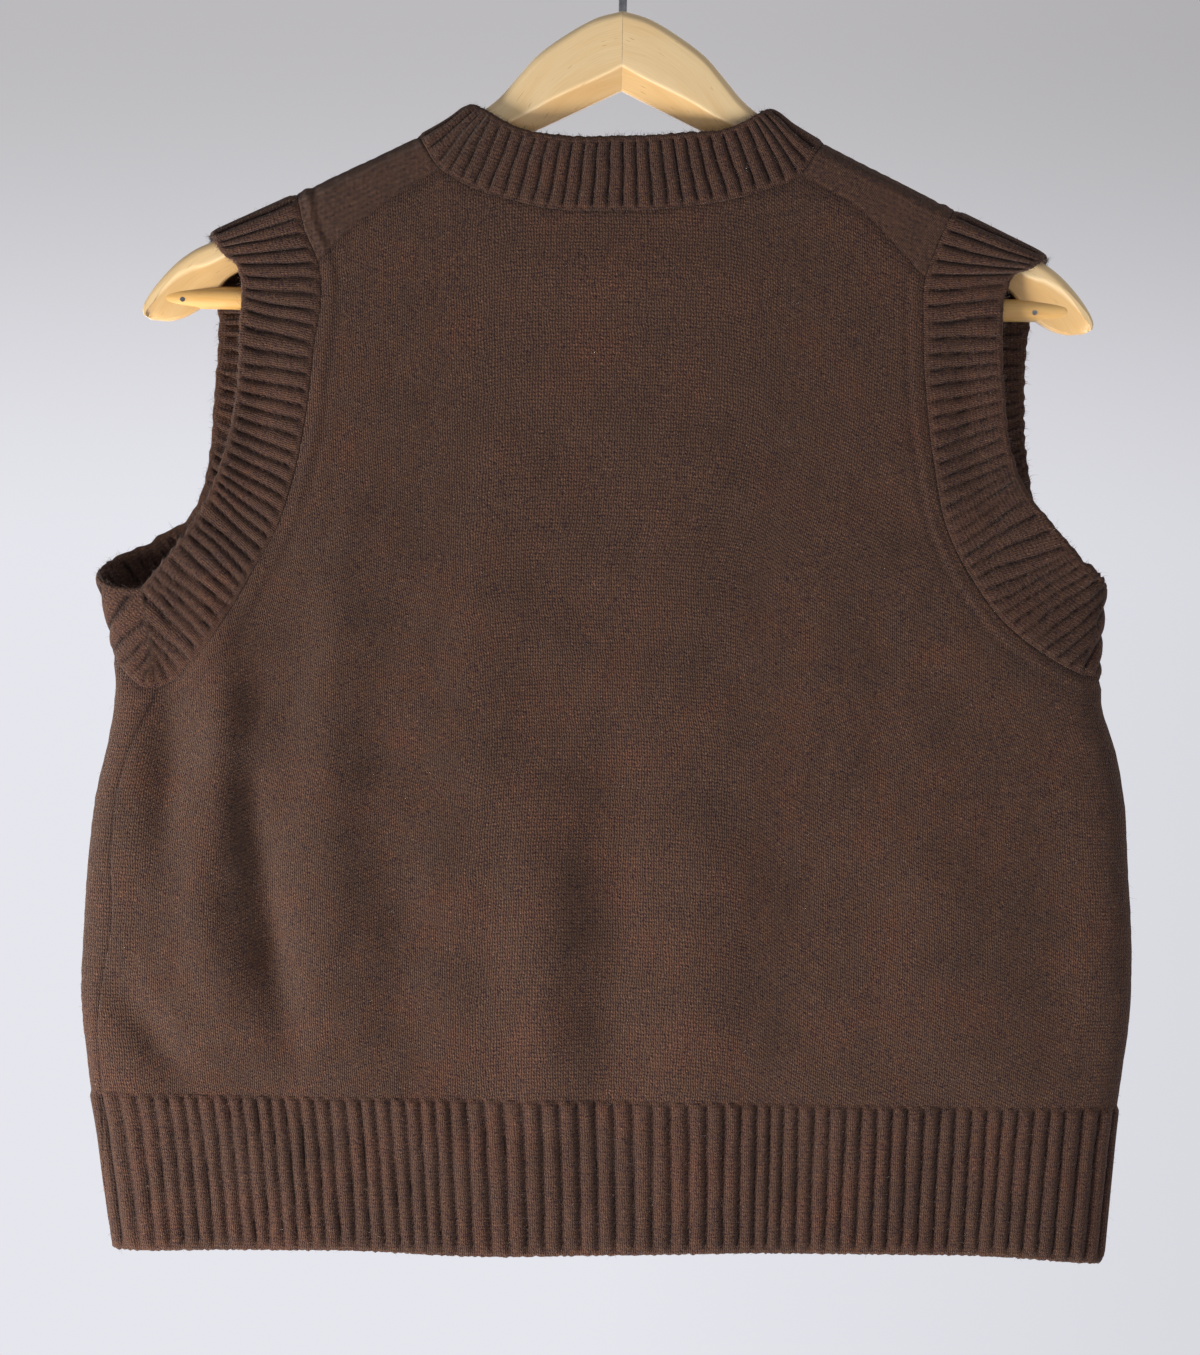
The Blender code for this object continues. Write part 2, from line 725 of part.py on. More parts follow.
def make_hem(name, start, end, material, collection):
    """A rib band from the panel's lower edge to the garment's, between two side seams below the rib's top."""
    count = SHOULDER_COLUMNS * 2 + NECK_COLUMNS
    rows = []
    for first, last, share in zip(start[::-1], end[::-1], np.linspace(0, 1, len(start))):
        turns = lower_edge(first[0], last[0], count)[:, 0]
        rows.append(level_row(turns, RIB_TOP_Z + (hem_z(turns) - RIB_TOP_Z) * share))
    grid = np.array(rows)[::-1]
    points = trimmed(cloth_point(grid[..., 0], grid[..., 1]), ("top", "start", "end"))
    return cloth_object(name, [points], RIB_WALL, material, collection)


def band_points(seam, edge):
    """A rib band between its seam and its free edge, as rows of points along its length."""
    across = np.linspace(0, 1, BAND_ROW_COUNT + 1)[:, None, None]
    pairs = seam[None] + (edge - seam)[None] * across
    return trimmed(cloth_point(pairs[..., 0], pairs[..., 1]), ("bottom",))


def make_armband(name, seam, edge, around, material, collection):
    loops = []
    for paths in (seam, edge):
        loops.append(np.concatenate([paths["shoulder_back"][:-1], paths["back"][:-1], paths["front"][:-1]]))
    points = band_points(*loops)
    return cloth_object(name, [points], RIB_WALL, material, collection, closed=True, flip=around == "right")


def make_neckband(seam, edge, material, collection):
    loops = []
    for paths in (seam, edge):
        left = mirrored(paths["front"])[::-1]
        loops.append(np.concatenate([paths["back"][:-1], paths["front"][:-1], left[:-1]]))
    points = band_points(*loops)
    return cloth_object("neckband", [points], RIB_WALL, material, collection, closed=True)


def arm_ring(station, side):
    """The ten corners of a hanger arm's section: a rounded top, flat faces and an underside that slopes in to a keel."""
    top = np.array([station["top_x"], station["top_z"]])
    low = np.array([station["low_x"], station["low_z"]])
    height = np.linalg.norm(low - top)
    rounding = min(ARM_TOP_ROUND, 0.3 * height)
    slope = min(station["slope_height"], 0.6 * height)
    half = ARM_HALF_THICKNESS
    corner = rounding * (1 - math.sqrt(0.5))
    outline = (
        (half - rounding, 0.0),
        (half - corner, corner),
        (half, rounding),
        (half, height - slope),
        (ARM_KEEL_HALF, height),
    )
    ring = [(y, depth) for y, depth in outline] + [(-y, depth) for y, depth in reversed(outline)]
    down = (low - top) / height
    return [(side * (top + down * depth)[0], y, (top + down * depth)[1]) for y, depth in ring]


def make_arm(name, side, cutters, material, collection):
    stations = [dict(zip(ARM_COLUMNS, row)) for row in ARM_ROWS]
    rings = np.array([arm_ring(station, side) for station in stations])
    mesh = bpy.data.meshes.new(name)
    shape = bmesh.new()
    made = [shape.verts.new(co * MM) for co in rings.reshape(-1, 3)]
    ring_length = rings.shape[1]
    for quad in grid_faces(len(stations), ring_length, closed=True):
        shape.faces.new([made[i] for i in quad])
    shape.faces.new(made[:ring_length])
    shape.faces.new(made[-ring_length:][::-1])
    bmesh.ops.recalc_face_normals(shape, faces=shape.faces)
    bmesh.ops.triangulate(shape, faces=shape.faces)
    shape.to_mesh(mesh)
    shape.free()
    obj = finished_object(name, mesh, material, collection)
    for cutter in cutters:
        cut = obj.modifiers.new(cutter.name, "BOOLEAN")
        cut.operation = "DIFFERENCE"
        cut.object = cutter
    return obj


def rod_mesh(name, radius, length, sides):
    """A cylinder along Z, centred on the origin."""
    mesh = bpy.data.meshes.new(name)
    shape = bmesh.new()
    bmesh.ops.create_cone(
        shape, cap_ends=True, segments=sides, radius1=radius * MM, radius2=radius * MM, depth=length * MM
    )
    shape.to_mesh(mesh)
    shape.free()
    mesh.shade_smooth()
    mesh.set_sharp_from_angle(angle=math.radians(40))
    return mesh


def make_cutter(name, radius, length, sides, location, rotation, collection):
    obj = bpy.data.objects.new(name, rod_mesh(name, radius, length, sides))
    obj.location = [value * MM for value in location]
    obj.rotation_euler = rotation
    obj.hide_render = True
    obj.display_type = "WIRE"
    collection.objects.link(obj)
    return obj


ALONG_X = (0, math.pi / 2, 0)
ALONG_Y = (math.pi / 2, 0, 0)


def make_bar(pin_holes, material, collection):
    length = BAR_RIGHT_X - BAR_LEFT_X
    obj = finished_object("trouser_bar", rod_mesh("trouser_bar", BAR_RADIUS, length, 20), material, collection)
    obj.location = ((BAR_LEFT_X + BAR_RIGHT_X) / 2 * MM, 0, BAR_Z * MM)
    obj.rotation_euler = ALONG_X
    for hole in pin_holes:
        cut = obj.modifiers.new(hole.name, "BOOLEAN")
        cut.operation = "DIFFERENCE"
        cut.object = hole
    return obj


def pin_face_y():
    """Where the bar's surface lies in front of a pin."""
    return -math.sqrt(BAR_RADIUS**2 - PIN_BELOW_BAR_AXIS**2)


def make_pin(name, x, material, collection):
    obj = finished_object(name, rod_mesh(name, PIN_RADIUS, PIN_DEPTH, 10), material, collection)
    y = pin_face_y() - PIN_PROUD + PIN_DEPTH / 2
    obj.location = (x * MM, y * MM, (BAR_Z - PIN_BELOW_BAR_AXIS) * MM)
    obj.rotation_euler = ALONG_Y
    return obj


def hook_points():
    """The wire's middle line: up the stem, a bend to the right and then round the hook to a tip on the left."""
    radius = HOOK_INNER_RADIUS + WIRE_RADIUS
    centre_z = -HOOK_INNER_RADIUS
    join, tip = math.radians(HOOK_JOIN_DEGREES), math.radians(HOOK_TIP_DEGREES)
    end = np.array([radius * math.cos(join), centre_z + radius * math.sin(join)])
    leave = np.array([-math.sin(join), math.cos(join)])
    start = np.array([0.0, HOOK_STEM_TOP_Z])
    t = np.linspace(0, 1, 7)[:, None]
    bend = (2 * t**3 - 3 * t**2 + 1) * start + (3 * t**2 - 2 * t**3) * end
    bend += HOOK_BEND_REACH * ((t**3 - 2 * t**2 + t) * np.array([0.0, 1.0]) + (t**3 - t**2) * leave)
    angles = np.linspace(join, tip, 22)[1:]
    arc = np.stack([radius * np.cos(angles), centre_z + radius * np.sin(angles)], -1)
    foot = np.array([[0.0, HOOK_STEM_FOOT_Z]])
    flat = np.concatenate([foot, bend, arc])
    return [(x, 0.0, z) for x, z in flat]


def make_hook(material, collection):
    curve = bpy.data.curves.new("hook", "CURVE")
    curve.dimensions = "3D"
    curve.bevel_depth = WIRE_RADIUS * MM
    curve.bevel_resolution = 2
    curve.use_fill_caps = True
    points = hook_points()
    spline = curve.splines.new("POLY")
    spline.points.add(len(points) - 1)
    for point, place in zip(spline.points, points):
        point.co = (*[value * MM for value in place], 1)
    curve.materials.append(material)
    obj = bpy.data.objects.new("hook", curve)
    collection.objects.link(obj)
    return obj


def main():
    for obj in list(bpy.data.objects):
        bpy.data.objects.remove(obj)
    parts = bpy.data.collections.new("sweater_vest_on_hanger")
    tools = bpy.data.collections.new("cutters")
    for collection in (parts, tools):
        bpy.context.scene.collection.children.link(collection)

    knit = principled("knit", CLOTH_COLOUR, 0.95)
    rib = principled("rib", RIB_COLOUR, 0.95)
    beech = principled("beech", BEECH_COLOUR, 0.35)
    bar_wood = principled("bar_wood", BAR_COLOUR, 0.3)
    steel = principled("steel", STEEL_COLOUR, 0.3, 1.0)

    left_seam = armhole_paths(LEFT_ARMHOLE_SEAM, "left")
    right_seam = armhole_paths(RIGHT_ARMHOLE_SEAM, "right")
    neck_seam = neck_paths(NECK_SEAM)
    seams = {
        "left_armhole": left_seam,
        "right_armhole": right_seam,
        "neck": neck_seam,
        "left_side": side_seam_path(LEFT_SIDE_SEAM, "left", above_rib=True),
        "right_side": side_seam_path(RIGHT_SIDE_SEAM, "right", above_rib=True),
        "left_shoulder": spread(smooth_path(pairs_of(LEFT_SHOULDER_SEAM, "over"))[0], SHOULDER_COLUMNS),
        "right_shoulder": spread(smooth_path(pairs_of(RIGHT_SHOULDER_SEAM, "over"))[0], SHOULDER_COLUMNS),
    }
    make_back(seams, knit, parts)
    make_front(seams, knit, parts)
    left_low = side_seam_path(LEFT_SIDE_SEAM, "left", above_rib=False)
    right_low = side_seam_path(RIGHT_SIDE_SEAM, "right", above_rib=False)
    make_hem("back_hem", left_low, right_low, rib, parts)
    make_hem("front_hem", right_low, left_low + np.array([2.0, 0.0]), rib, parts)
    left_edge = armhole_paths(LEFT_ARMHOLE_EDGE, "left")
    right_edge = armhole_paths(RIGHT_ARMHOLE_EDGE, "right")
    make_armband("armband_left", left_seam, left_edge, "left", rib, parts)
    make_armband("armband_right", right_seam, right_edge, "right", rib, parts)
    make_neckband(neck_seam, neck_paths(NECK_EDGE), rib, parts)

    bar_hole_length = BAR_RIGHT_X - BAR_LEFT_X + 2 * BAR_CLEARANCE
    bar_middle = ((BAR_LEFT_X + BAR_RIGHT_X) / 2, 0, BAR_Z)
    bar_hole_radius = BAR_RADIUS + BAR_CLEARANCE
    bar_hole = make_cutter("bar_hole", bar_hole_radius, bar_hole_length, 20, bar_middle, ALONG_X, tools)
    stem_hole_radius = WIRE_RADIUS + STEM_CLEARANCE
    stem_middle = (0, 0, HOOK_STEM_FOOT_Z - STEM_CLEARANCE + STEM_HOLE_LENGTH / 2)
    stem_hole = make_cutter("stem_hole", stem_hole_radius, STEM_HOLE_LENGTH, 12, stem_middle, (0, 0, 0), tools)
    pin_holes = []
    pin_hole_radius = PIN_RADIUS + PIN_CLEARANCE
    pin_hole_y = pin_face_y() - PIN_PROUD + PIN_DEPTH / 2 - PIN_HOLE_EXTRA / 2 + PIN_CLEARANCE
    for name, x in (("pin_hole_left", PIN_LEFT_X), ("pin_hole_right", PIN_RIGHT_X)):
        place = (x, pin_hole_y, BAR_Z - PIN_BELOW_BAR_AXIS)
        length = PIN_DEPTH + PIN_HOLE_EXTRA
        pin_holes.append(make_cutter(name, pin_hole_radius, length, 10, place, ALONG_Y, tools))
    make_arm("hanger_arm_left", -1, (bar_hole, stem_hole, pin_holes[0]), beech, parts)
    make_arm("hanger_arm_right", 1, (bar_hole, stem_hole, pin_holes[1]), beech, parts)
    make_bar(pin_holes, bar_wood, parts)
    make_pin("bar_pin_left", PIN_LEFT_X, steel, parts)
    make_pin("bar_pin_right", PIN_RIGHT_X, steel, parts)
    make_hook(steel, parts)


main()
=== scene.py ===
# %% [markdown]
# # A knitted sweater vest on a wooden hanger
#
# The vest hangs with its back to the camera. It is one flattened tube of thin knit with ribbed bands sewn
# to its edges, and a beech hanger with a trouser bar holds it by the shoulders. Each piece below is a
# surface worked out from two numbers, so its ribs, seams and folds are real relief and not only a drawing.

# %% Load the frame
import json
import math

import bmesh
import bpy
import numpy as np
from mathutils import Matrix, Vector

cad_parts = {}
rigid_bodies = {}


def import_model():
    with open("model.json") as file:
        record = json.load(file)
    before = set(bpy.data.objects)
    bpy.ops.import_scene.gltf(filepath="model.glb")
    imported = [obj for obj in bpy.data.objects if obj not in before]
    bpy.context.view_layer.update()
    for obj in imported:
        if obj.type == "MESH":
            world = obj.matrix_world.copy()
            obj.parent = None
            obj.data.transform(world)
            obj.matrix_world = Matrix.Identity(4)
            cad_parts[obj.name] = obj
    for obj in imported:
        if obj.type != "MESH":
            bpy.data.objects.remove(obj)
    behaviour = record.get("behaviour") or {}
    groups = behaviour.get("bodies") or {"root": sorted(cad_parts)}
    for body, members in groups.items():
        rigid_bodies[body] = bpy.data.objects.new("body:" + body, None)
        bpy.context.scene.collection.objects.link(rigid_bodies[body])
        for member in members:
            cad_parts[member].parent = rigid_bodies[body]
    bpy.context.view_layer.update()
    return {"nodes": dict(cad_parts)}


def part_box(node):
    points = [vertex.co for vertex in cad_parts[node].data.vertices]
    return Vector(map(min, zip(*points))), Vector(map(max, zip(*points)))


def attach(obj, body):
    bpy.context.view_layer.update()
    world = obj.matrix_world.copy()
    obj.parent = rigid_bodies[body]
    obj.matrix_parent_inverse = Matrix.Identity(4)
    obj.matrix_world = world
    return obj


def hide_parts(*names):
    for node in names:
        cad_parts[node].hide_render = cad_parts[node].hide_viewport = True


MM = 0.001
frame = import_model()

# %% [markdown]
# ## Camera, stage and light
#
# The view is square on to the back, level with the middle of the vest, from 1.4 m with a long lens, and
# turned by under a degree. Dark wool wants soft light. A lamp low on the left grazes the cloth so that the
# ribs and folds show, a weaker one fills from the right, and a pale wall far behind keeps the outline
# clean.

# %% Camera, wall, floor and lamps
def look_at(obj, target):
    """Turn an object so that its own -Z points at the target."""
    way = np.array(target) - np.array(obj.location)
    obj.rotation_euler = (math.atan2(math.hypot(way[0], way[1]), -way[2]), 0, math.atan2(-way[0], way[1]))


def area_lamp(name, place, target, size, power, colour):
    lamp = bpy.data.lights.new(name, "AREA")
    lamp.shape = "DISK"
    lamp.size = size
    lamp.energy = power
    lamp.color = colour
    obj = bpy.data.objects.new(name, lamp)
    obj.location = place
    look_at(obj, target)
    bpy.context.scene.collection.objects.link(obj)


for obj in [o for o in bpy.data.objects if o.type in ("CAMERA", "LIGHT")]:
    bpy.data.objects.remove(obj)

FOCAL_LENGTH = 79.6
CAMERA_PLACE = (-0.0058, -1.412, -0.376)
CAMERA_TILT = math.radians(0.9)
lens = bpy.data.cameras.new("camera")
lens.lens = FOCAL_LENGTH
lens.clip_end = 50
camera = bpy.data.objects.new("camera", lens)
camera.location = CAMERA_PLACE
camera.rotation_euler = (math.pi / 2, -CAMERA_TILT, 0)
bpy.context.scene.collection.objects.link(camera)
bpy.context.scene.camera = camera

VEST_MIDDLE = (0, 0, -0.38)
LOWER_LEFT = (-0.12, 0, -0.56)
LAMP_COLUMNS = ("name", "place", "target", "size", "power", "colour")
LAMP_ROWS = (
    ("key_low_left", (-1.1, -0.62, -1.22), LOWER_LEFT, 0.5, 37, (1.0, 0.985, 0.96)),
    ("fill_right", (1.5, -1.6, -1.0), VEST_MIDDLE, 1.6, 9, (0.96, 0.97, 1.0)),
    ("behind", (0.0, 1.9, 0.3), VEST_MIDDLE, 1.6, 4, (1.0, 1.0, 1.0)),
)
for row in LAMP_ROWS:
    area_lamp(**dict(zip(LAMP_COLUMNS, row)))

world = bpy.data.worlds.new("studio")
world.use_nodes = True
background = world.node_tree.nodes["Background"]
background.inputs["Color"].default_value = (0.80, 0.81, 0.86, 1)
background.inputs["Strength"].default_value = 0.36
bpy.context.scene.world = world
bpy.context.scene.view_settings.view_transform = "Standard"


def staged_plane(name, size, place, turn, material):
    """A square of wall or floor, which belongs to the stage and not to the vest."""
    mesh = bpy.data.meshes.new(name)
    shape = bmesh.new()
    bmesh.ops.create_grid(shape, x_segments=1, y_segments=1, size=size / 2)
    shape.to_mesh(mesh)
    shape.free()
    mesh.materials.append(material)
    obj = bpy.data.objects.new(name, mesh)
    obj.location = place
    obj.rotation_euler = turn
    bpy.context.scene.collection.objects.link(obj)


# The wall glows with a painted falloff: darker towards the top and a little to the right, as the light falls
# off there.
WALL_PALE_BELOW, WALL_DARK_ABOVE = -0.25, 0.6
WALL_PALE, WALL_DARK = (0.790, 0.790, 0.850, 1), (0.500, 0.490, 0.505, 1)
WALL_RIGHT_X, WALL_RIGHT_LIGHT = 0.85, 0.88


def glowing_wall_painted_falloff():
    """A pale lavender grey that glows with its own light, painted with a falloff: darker towards the top and
    a little to the right."""
    material = bpy.data.materials.new("glowing_wall_painted_falloff")
    material.use_nodes = True
    nodes, links = material.node_tree.nodes, material.node_tree.links
    coords = nodes.new("ShaderNodeTexCoord")
    split = nodes.new("ShaderNodeSeparateXYZ")
    links.new(coords.outputs["Object"], split.inputs[0])
    height = nodes.new("ShaderNodeMapRange")
    height.inputs["From Min"].default_value = WALL_PALE_BELOW
    height.inputs["From Max"].default_value = WALL_DARK_ABOVE
    links.new(split.outputs["Y"], height.inputs["Value"])
    greys = nodes.new("ShaderNodeValToRGB")
    greys.color_ramp.interpolation = "EASE"
    greys.color_ramp.elements[0].color = WALL_PALE
    greys.color_ramp.elements[1].color = WALL_DARK
    links.new(height.outputs["Result"], greys.inputs["Fac"])
    paint = nodes["Principled BSDF"]
    paint.inputs["Base Color"].default_value = (0, 0, 0, 1)
    paint.inputs["Roughness"].default_value = 1
    paint.inputs["Specular IOR Level"].default_value = 0
    aside = nodes.new("ShaderNodeMapRange")
    aside.inputs["From Max"].default_value = WALL_RIGHT_X
    aside.inputs["To Min"].default_value = 1.0
    aside.inputs["To Max"].default_value = WALL_RIGHT_LIGHT
    links.new(split.outputs["X"], aside.inputs["Value"])
    links.new(aside.outputs["Result"], paint.inputs["Emission Strength"])
    links.new(greys.outputs["Color"], paint.inputs["Emission Color"])
    return material


STAGE_SIZE = 14
WALL_Y, FLOOR_Z = 2.9, -1.75
floor_paint = bpy.data.materials.new("floor_paint")
floor_paint.use_nodes = True
floor_surface = floor_paint.node_tree.nodes["Principled BSDF"]
floor_surface.inputs["Base Color"].default_value = (0.74, 0.74, 0.77, 1)
floor_surface.inputs["Roughness"].default_value = 0.9
staged_plane("wall", STAGE_SIZE, (0, WALL_Y, 0), (math.pi / 2, 0, 0), glowing_wall_painted_falloff())
staged_plane("floor", STAGE_SIZE, (0, 0, FLOOR_Z), (0, 0, 0), floor_paint)
print("camera", camera.location[:], "lens", lens.lens)

# %% [markdown]
# ## Sizes of the vest
#
# The outline of a hung garment is irregular, so a few short tables give it: the side folds at each height,
# the line over which the cloth is folded on the hanger, and points along every seam and free edge. All are
# in millimetres from the hang point. Smooth curves run through them, so the tables stay short.

# %% Side folds, shoulder line and hem
FOLD_COLUMNS = ("x", "z")
FOLD_ROWS = (
    (0.0, -100.0),
    (40.0, -101.0),
    (56.0, -102.6),
    (66.0, -105.8),
    (72.0, -109.2),
    (80.0, -115.2),
    (90.0, -121.3),
    (105.0, -129.0),
    (130.0, -141.2),
    (154.0, -153.0),
    (180.0, -165.3),
    (192.0, -171.0),
    (204.0, -177.0),
    (220.0, -184.0),
)

BODY_COLUMNS = ("z", "left_x", "right_x", "half_depth")
BODY_ROWS = (
    (-652.0, -229.5, 233.3, 11.0),
    (-610.0, -235.3, 236.6, 11.6),
    (-587.0, -238.8, 238.5, 12.3),
    (-574.0, -241.3, 239.8, 12.8),
    (-556.0, -243.8, 242.2, 13.4),
    (-530.0, -246.7, 245.2, 13.7),
    (-503.0, -246.2, 245.6, 13.6),
    (-460.0, -244.0, 243.0, 13.2),
    (-432.0, -240.8, 241.2, 12.8),
    (-409.0, -235.8, 237.0, 12.4),
    (-386.0, -233.0, 229.8, 12.0),
    (-366.0, -234.3, 228.4, 11.7),
    (-348.0, -238.2, 229.4, 11.4),
    (-331.0, -243.0, 231.0, 11.1),
    (-300.0, -252.0, 246.0, 10.7),
    (-250.0, -262.0, 262.0, 10.2),
    (-200.0, -266.0, 266.0, 9.9),
    (-100.0, -266.0, 266.0, 9.8),
)

RIB_TOP_Z = -573.6
TURN_HEIGHT = 7.5
TURN_LENGTH = 13.7
HEM_COLUMNS = ("x", "z")
HEM_ROWS = (
    (-232.0, -647.8),
    (-130.0, -645.8),
    (-40.0, -647.6),
    (0.0, -646.2),
    (130.0, -643.6),
    (188.0, -644.2),
    (234.0, -647.6),
)
print(len(BODY_ROWS), "heights for the side folds")

# %% [markdown]
# Seams and free edges are points seen square on: x, z and the face, which is -1 on the back, 1 on the front
# and 0 on a fold. Each armhole starts on the shoulder fold, goes down the back, round the underarm and up
# the front.

# %% Seams and free edges
LEFT_SIDE_SEAM = (
    (-230.8, -647.0, -1),
    (-233.6, -612.0, -1),
    (-236.0, -574.0, -1),
    (-238.0, -545.0, -1),
    (-235.8, -519.0, -1),
    (-232.0, -492.0, -1),
    (-233.0, -468.0, -1),
    (-231.6, -437.0, -1),
    (-225.0, -411.0, -1),
    (-213.0, -383.6, -1),
)
RIGHT_SIDE_SEAM = (
    (227.0, -647.0, 1),
    (229.5, -612.0, 1),
    (232.0, -574.0, 1),
    (236.6, -530.0, 1),
    (236.0, -480.0, 1),
    (233.0, -440.0, 1),
    (226.0, -408.0, 1),
    (214.0, -378.0, 1),
)
LEFT_ARMHOLE_SEAM = {
    "shoulder_back": (
        (-152.0, -152.0, 0),
        (-148.0, -167.0, -1),
        (-141.0, -184.0, -1),
    ),
    "back": (
        (-141.0, -184.0, -1),
        (-139.3, -199.0, -1),
        (-142.3, -224.0, -1),
        (-145.3, -256.0, -1),
        (-151.0, -286.0, -1),
        (-158.0, -308.0, -1),
        (-168.0, -327.0, -1),
        (-179.0, -347.0, -1),
        (-194.0, -368.5, -1),
        (-213.0, -383.6, -1),
    ),
    "front": (
        (-213.0, -383.6, -1),
        (-234.5, -366.5, 0),
        (-220.0, -355.0, 1),
        (-204.0, -344.0, 1),
        (-190.0, -330.0, 1),
        (-179.0, -313.0, 1),
        (-171.0, -295.0, 1),
        (-163.0, -270.0, 1),
        (-158.0, -246.0, 1),
        (-155.5, -222.0, 1),
        (-155.0, -198.0, 1),
        (-155.5, -176.0, 1),
        (-152.0, -152.0, 0),
    ),
}
LEFT_ARMHOLE_EDGE = {
    "shoulder_back": (
        (-192.5, -171.2, 0),
        (-186.3, -179.6, -1),
        (-179.2, -185.6, -1),
    ),
    "back": (
        (-179.2, -185.6, -1),
        (-176.6, -195.0, -1),
        (-177.0, -210.0, -1),
        (-178.8, -249.0, -1),
        (-183.0, -272.0, -1),
        (-193.5, -299.5, -1),
        (-204.0, -315.5, -1),
        (-215.0, -329.5, -1),
        (-222.6, -337.0, -1),
    ),
    "front": (
        (-222.6, -337.0, -1),
        (-243.0, -331.0, 0),
        (-227.5, -318.5, 1),
        (-214.0, -310.5, 1),
        (-204.0, -305.0, 1),
        (-197.5, -294.0, 1),
        (-192.8, -273.0, 1),
        (-191.2, -249.0, 1),
        (-189.4, -212.0, 1),
        (-191.0, -188.0, 1),
        (-192.5, -171.2, 0),
    ),
}
RIGHT_ARMHOLE_SEAM = {
    "shoulder_back": (
        (158.0, -155.0, 0),
        (149.0, -171.5, -1),
        (143.6, -187.0, -1),
    ),
    "back": (
        (143.6, -187.0, -1),
        (143.0, -208.0, -1),
        (144.3, -236.0, -1),
        (148.6, -272.0, -1),
        (155.5, -304.0, -1),
        (168.6, -329.0, -1),
        (184.0, -348.5, -1),
        (206.0, -364.5, -1),
        (228.8, -373.5, 0),
        (214.0, -378.0, 1),
    ),
    "front": (
        (214.0, -378.0, 1),
        (200.0, -367.0, 1),
        (187.0, -351.0, 1),
        (177.0, -332.0, 1),
        (169.0, -308.0, 1),
        (163.0, -280.0, 1),
        (159.5, -250.0, 1),
        (158.5, -220.0, 1),
        (159.0, -195.0, 1),
        (160.5, -175.0, 1),
        (158.0, -155.0, 0),
    ),
}
RIGHT_ARMHOLE_EDGE = {
    "shoulder_back": (
        (201.5, -175.6, 0),
        (194.0, -181.0, -1),
        (185.0, -185.0, -1),
    ),
    "back": (
        (185.0, -185.0, -1),
        (181.4, -193.5, -1),
        (180.2, -214.0, -1),
        (181.8, -243.0, -1),
        (184.8, -266.0, -1),
        (192.0, -284.5, -1),
        (203.6, -299.5, -1),
        (216.0, -313.5, -1),
        (231.0, -331.0, 0),
        (213.5, -337.0, 1),
    ),
    "front": (
        (213.5, -337.0, 1),
        (206.0, -325.0, 1),
        (201.5, -306.0, 1),
        (197.4, -283.0, 1),
        (194.3, -262.0, 1),
        (193.6, -243.0, 1),
        (194.6, -212.0, 1),
        (198.5, -191.0, 1),
        (201.5, -175.6, 0),
    ),
}
NECK_SEAM = {
    "back": (
        (-84.0, -139.5, -1),
        (-69.0, -148.0, -1),
        (-40.0, -155.8, -1),
        (-3.0, -157.4, -1),
        (32.0, -154.8, -1),
        (62.0, -148.6, -1),
        (84.0, -139.5, -1),
    ),
    "front": (
        (84.0, -139.5, -1),
        (95.5, -124.3, 0),
        (94.5, -150.0, 1),
        (88.0, -190.0, 1),
        (75.0, -235.0, 1),
        (56.0, -280.0, 1),
        (33.0, -322.0, 1),
        (0.0, -368.0, 1),
    ),
}
NECK_EDGE = {
    "back": (
        (-63.0, -111.5, -1),
        (-53.0, -117.0, -1),
        (-25.0, -122.6, -1),
        (-4.0, -122.4, -1),
        (28.0, -120.4, -1),
        (54.0, -116.4, -1),
        (63.0, -111.5, -1),
    ),
    "front": (
        (63.0, -111.5, -1),
        (71.5, -108.9, 0),
        (68.0, -132.0, 1),
        (55.0, -180.0, 1),
        (42.0, -223.0, 1),
        (25.0, -265.0, 1),
        (0.0, -308.0, 1),
    ),
}
LEFT_SHOULDER_SEAM = (
    (-141.0, -184.0, -1),
    (-126.5, -169.0, -1),
    (-101.0, -149.5, -1),
    (-84.0, -139.5, -1),
)
RIGHT_SHOULDER_SEAM = (
    (84.0, -139.5, -1),
    (110.0, -153.5, -1),
    (130.0, -172.5, -1),
    (143.6, -187.0, -1),
)
print("neck, armholes, side and shoulder seams")

# %% [markdown]
# ## The tube of cloth
#
# Two numbers place any point of the knit. `turn` runs round the body: 0 is the left side fold, 1 the right
# one, 0 to 1 the back and 1 to 2 the front. `drape` is the length of cloth below the fold over the hanger,
# and it changes sign where the cloth passes over that fold. Every panel and band is cut from this one
# surface, so seams always meet.

# %% Smooth curves through the tables
def columns(names, rows):
    """The table's columns as arrays, by name."""
    return dict(zip(names, np.array(rows, float).T))


def smooth_curve(at, xs, ys):
    """A cubic between each two rows of ys, with the slopes of their neighbours. Past the ends it stays
    level."""
    slopes = np.gradient(ys, xs, axis=0)
    i = np.clip(np.searchsorted(xs, at) - 1, 0, len(xs) - 2)
    span = xs[i + 1] - xs[i]
    t = np.clip((at - xs[i]) / span, 0, 1)
    more = (slice(None),) * np.ndim(at) + (None,) * (np.ndim(ys) - 1)
    t, span = t[more], span[more]
    ends = (2 * t**3 - 3 * t**2 + 1) * ys[i] + (3 * t**2 - 2 * t**3) * ys[i + 1]
    return ends + span * ((t**3 - 2 * t**2 + t) * slopes[i] + (t**3 - t**2) * slopes[i + 1])


def smooth_step(t):
    t = np.clip(t, 0, 1)
    return t * t * (3 - 2 * t)


BODY = columns(BODY_COLUMNS, BODY_ROWS)
FOLD = columns(FOLD_COLUMNS, FOLD_ROWS)
HEM = columns(HEM_COLUMNS, HEM_ROWS)


def body_at(z, name):
    return smooth_curve(z, BODY["z"], BODY[name])


def fold_z(x):
    return smooth_curve(np.abs(x), FOLD["x"], FOLD["z"])


def middle_and_half_width(z):
    left, right = body_at(z, "left_x"), body_at(z, "right_x")
    return (left + right) / 2, (right - left) / 2


print("body is", round(float(2 * middle_and_half_width(np.array(-520.0))[1])), "mm wide above the rib")

# %% [markdown]
# Soft folds hang from the underarms and the shoulder blades. Each is a line on one face with a bell across
# it, ridge or trough, faded in and out along it. A little seeded unevenness keeps the cloth between them
# from being flat.

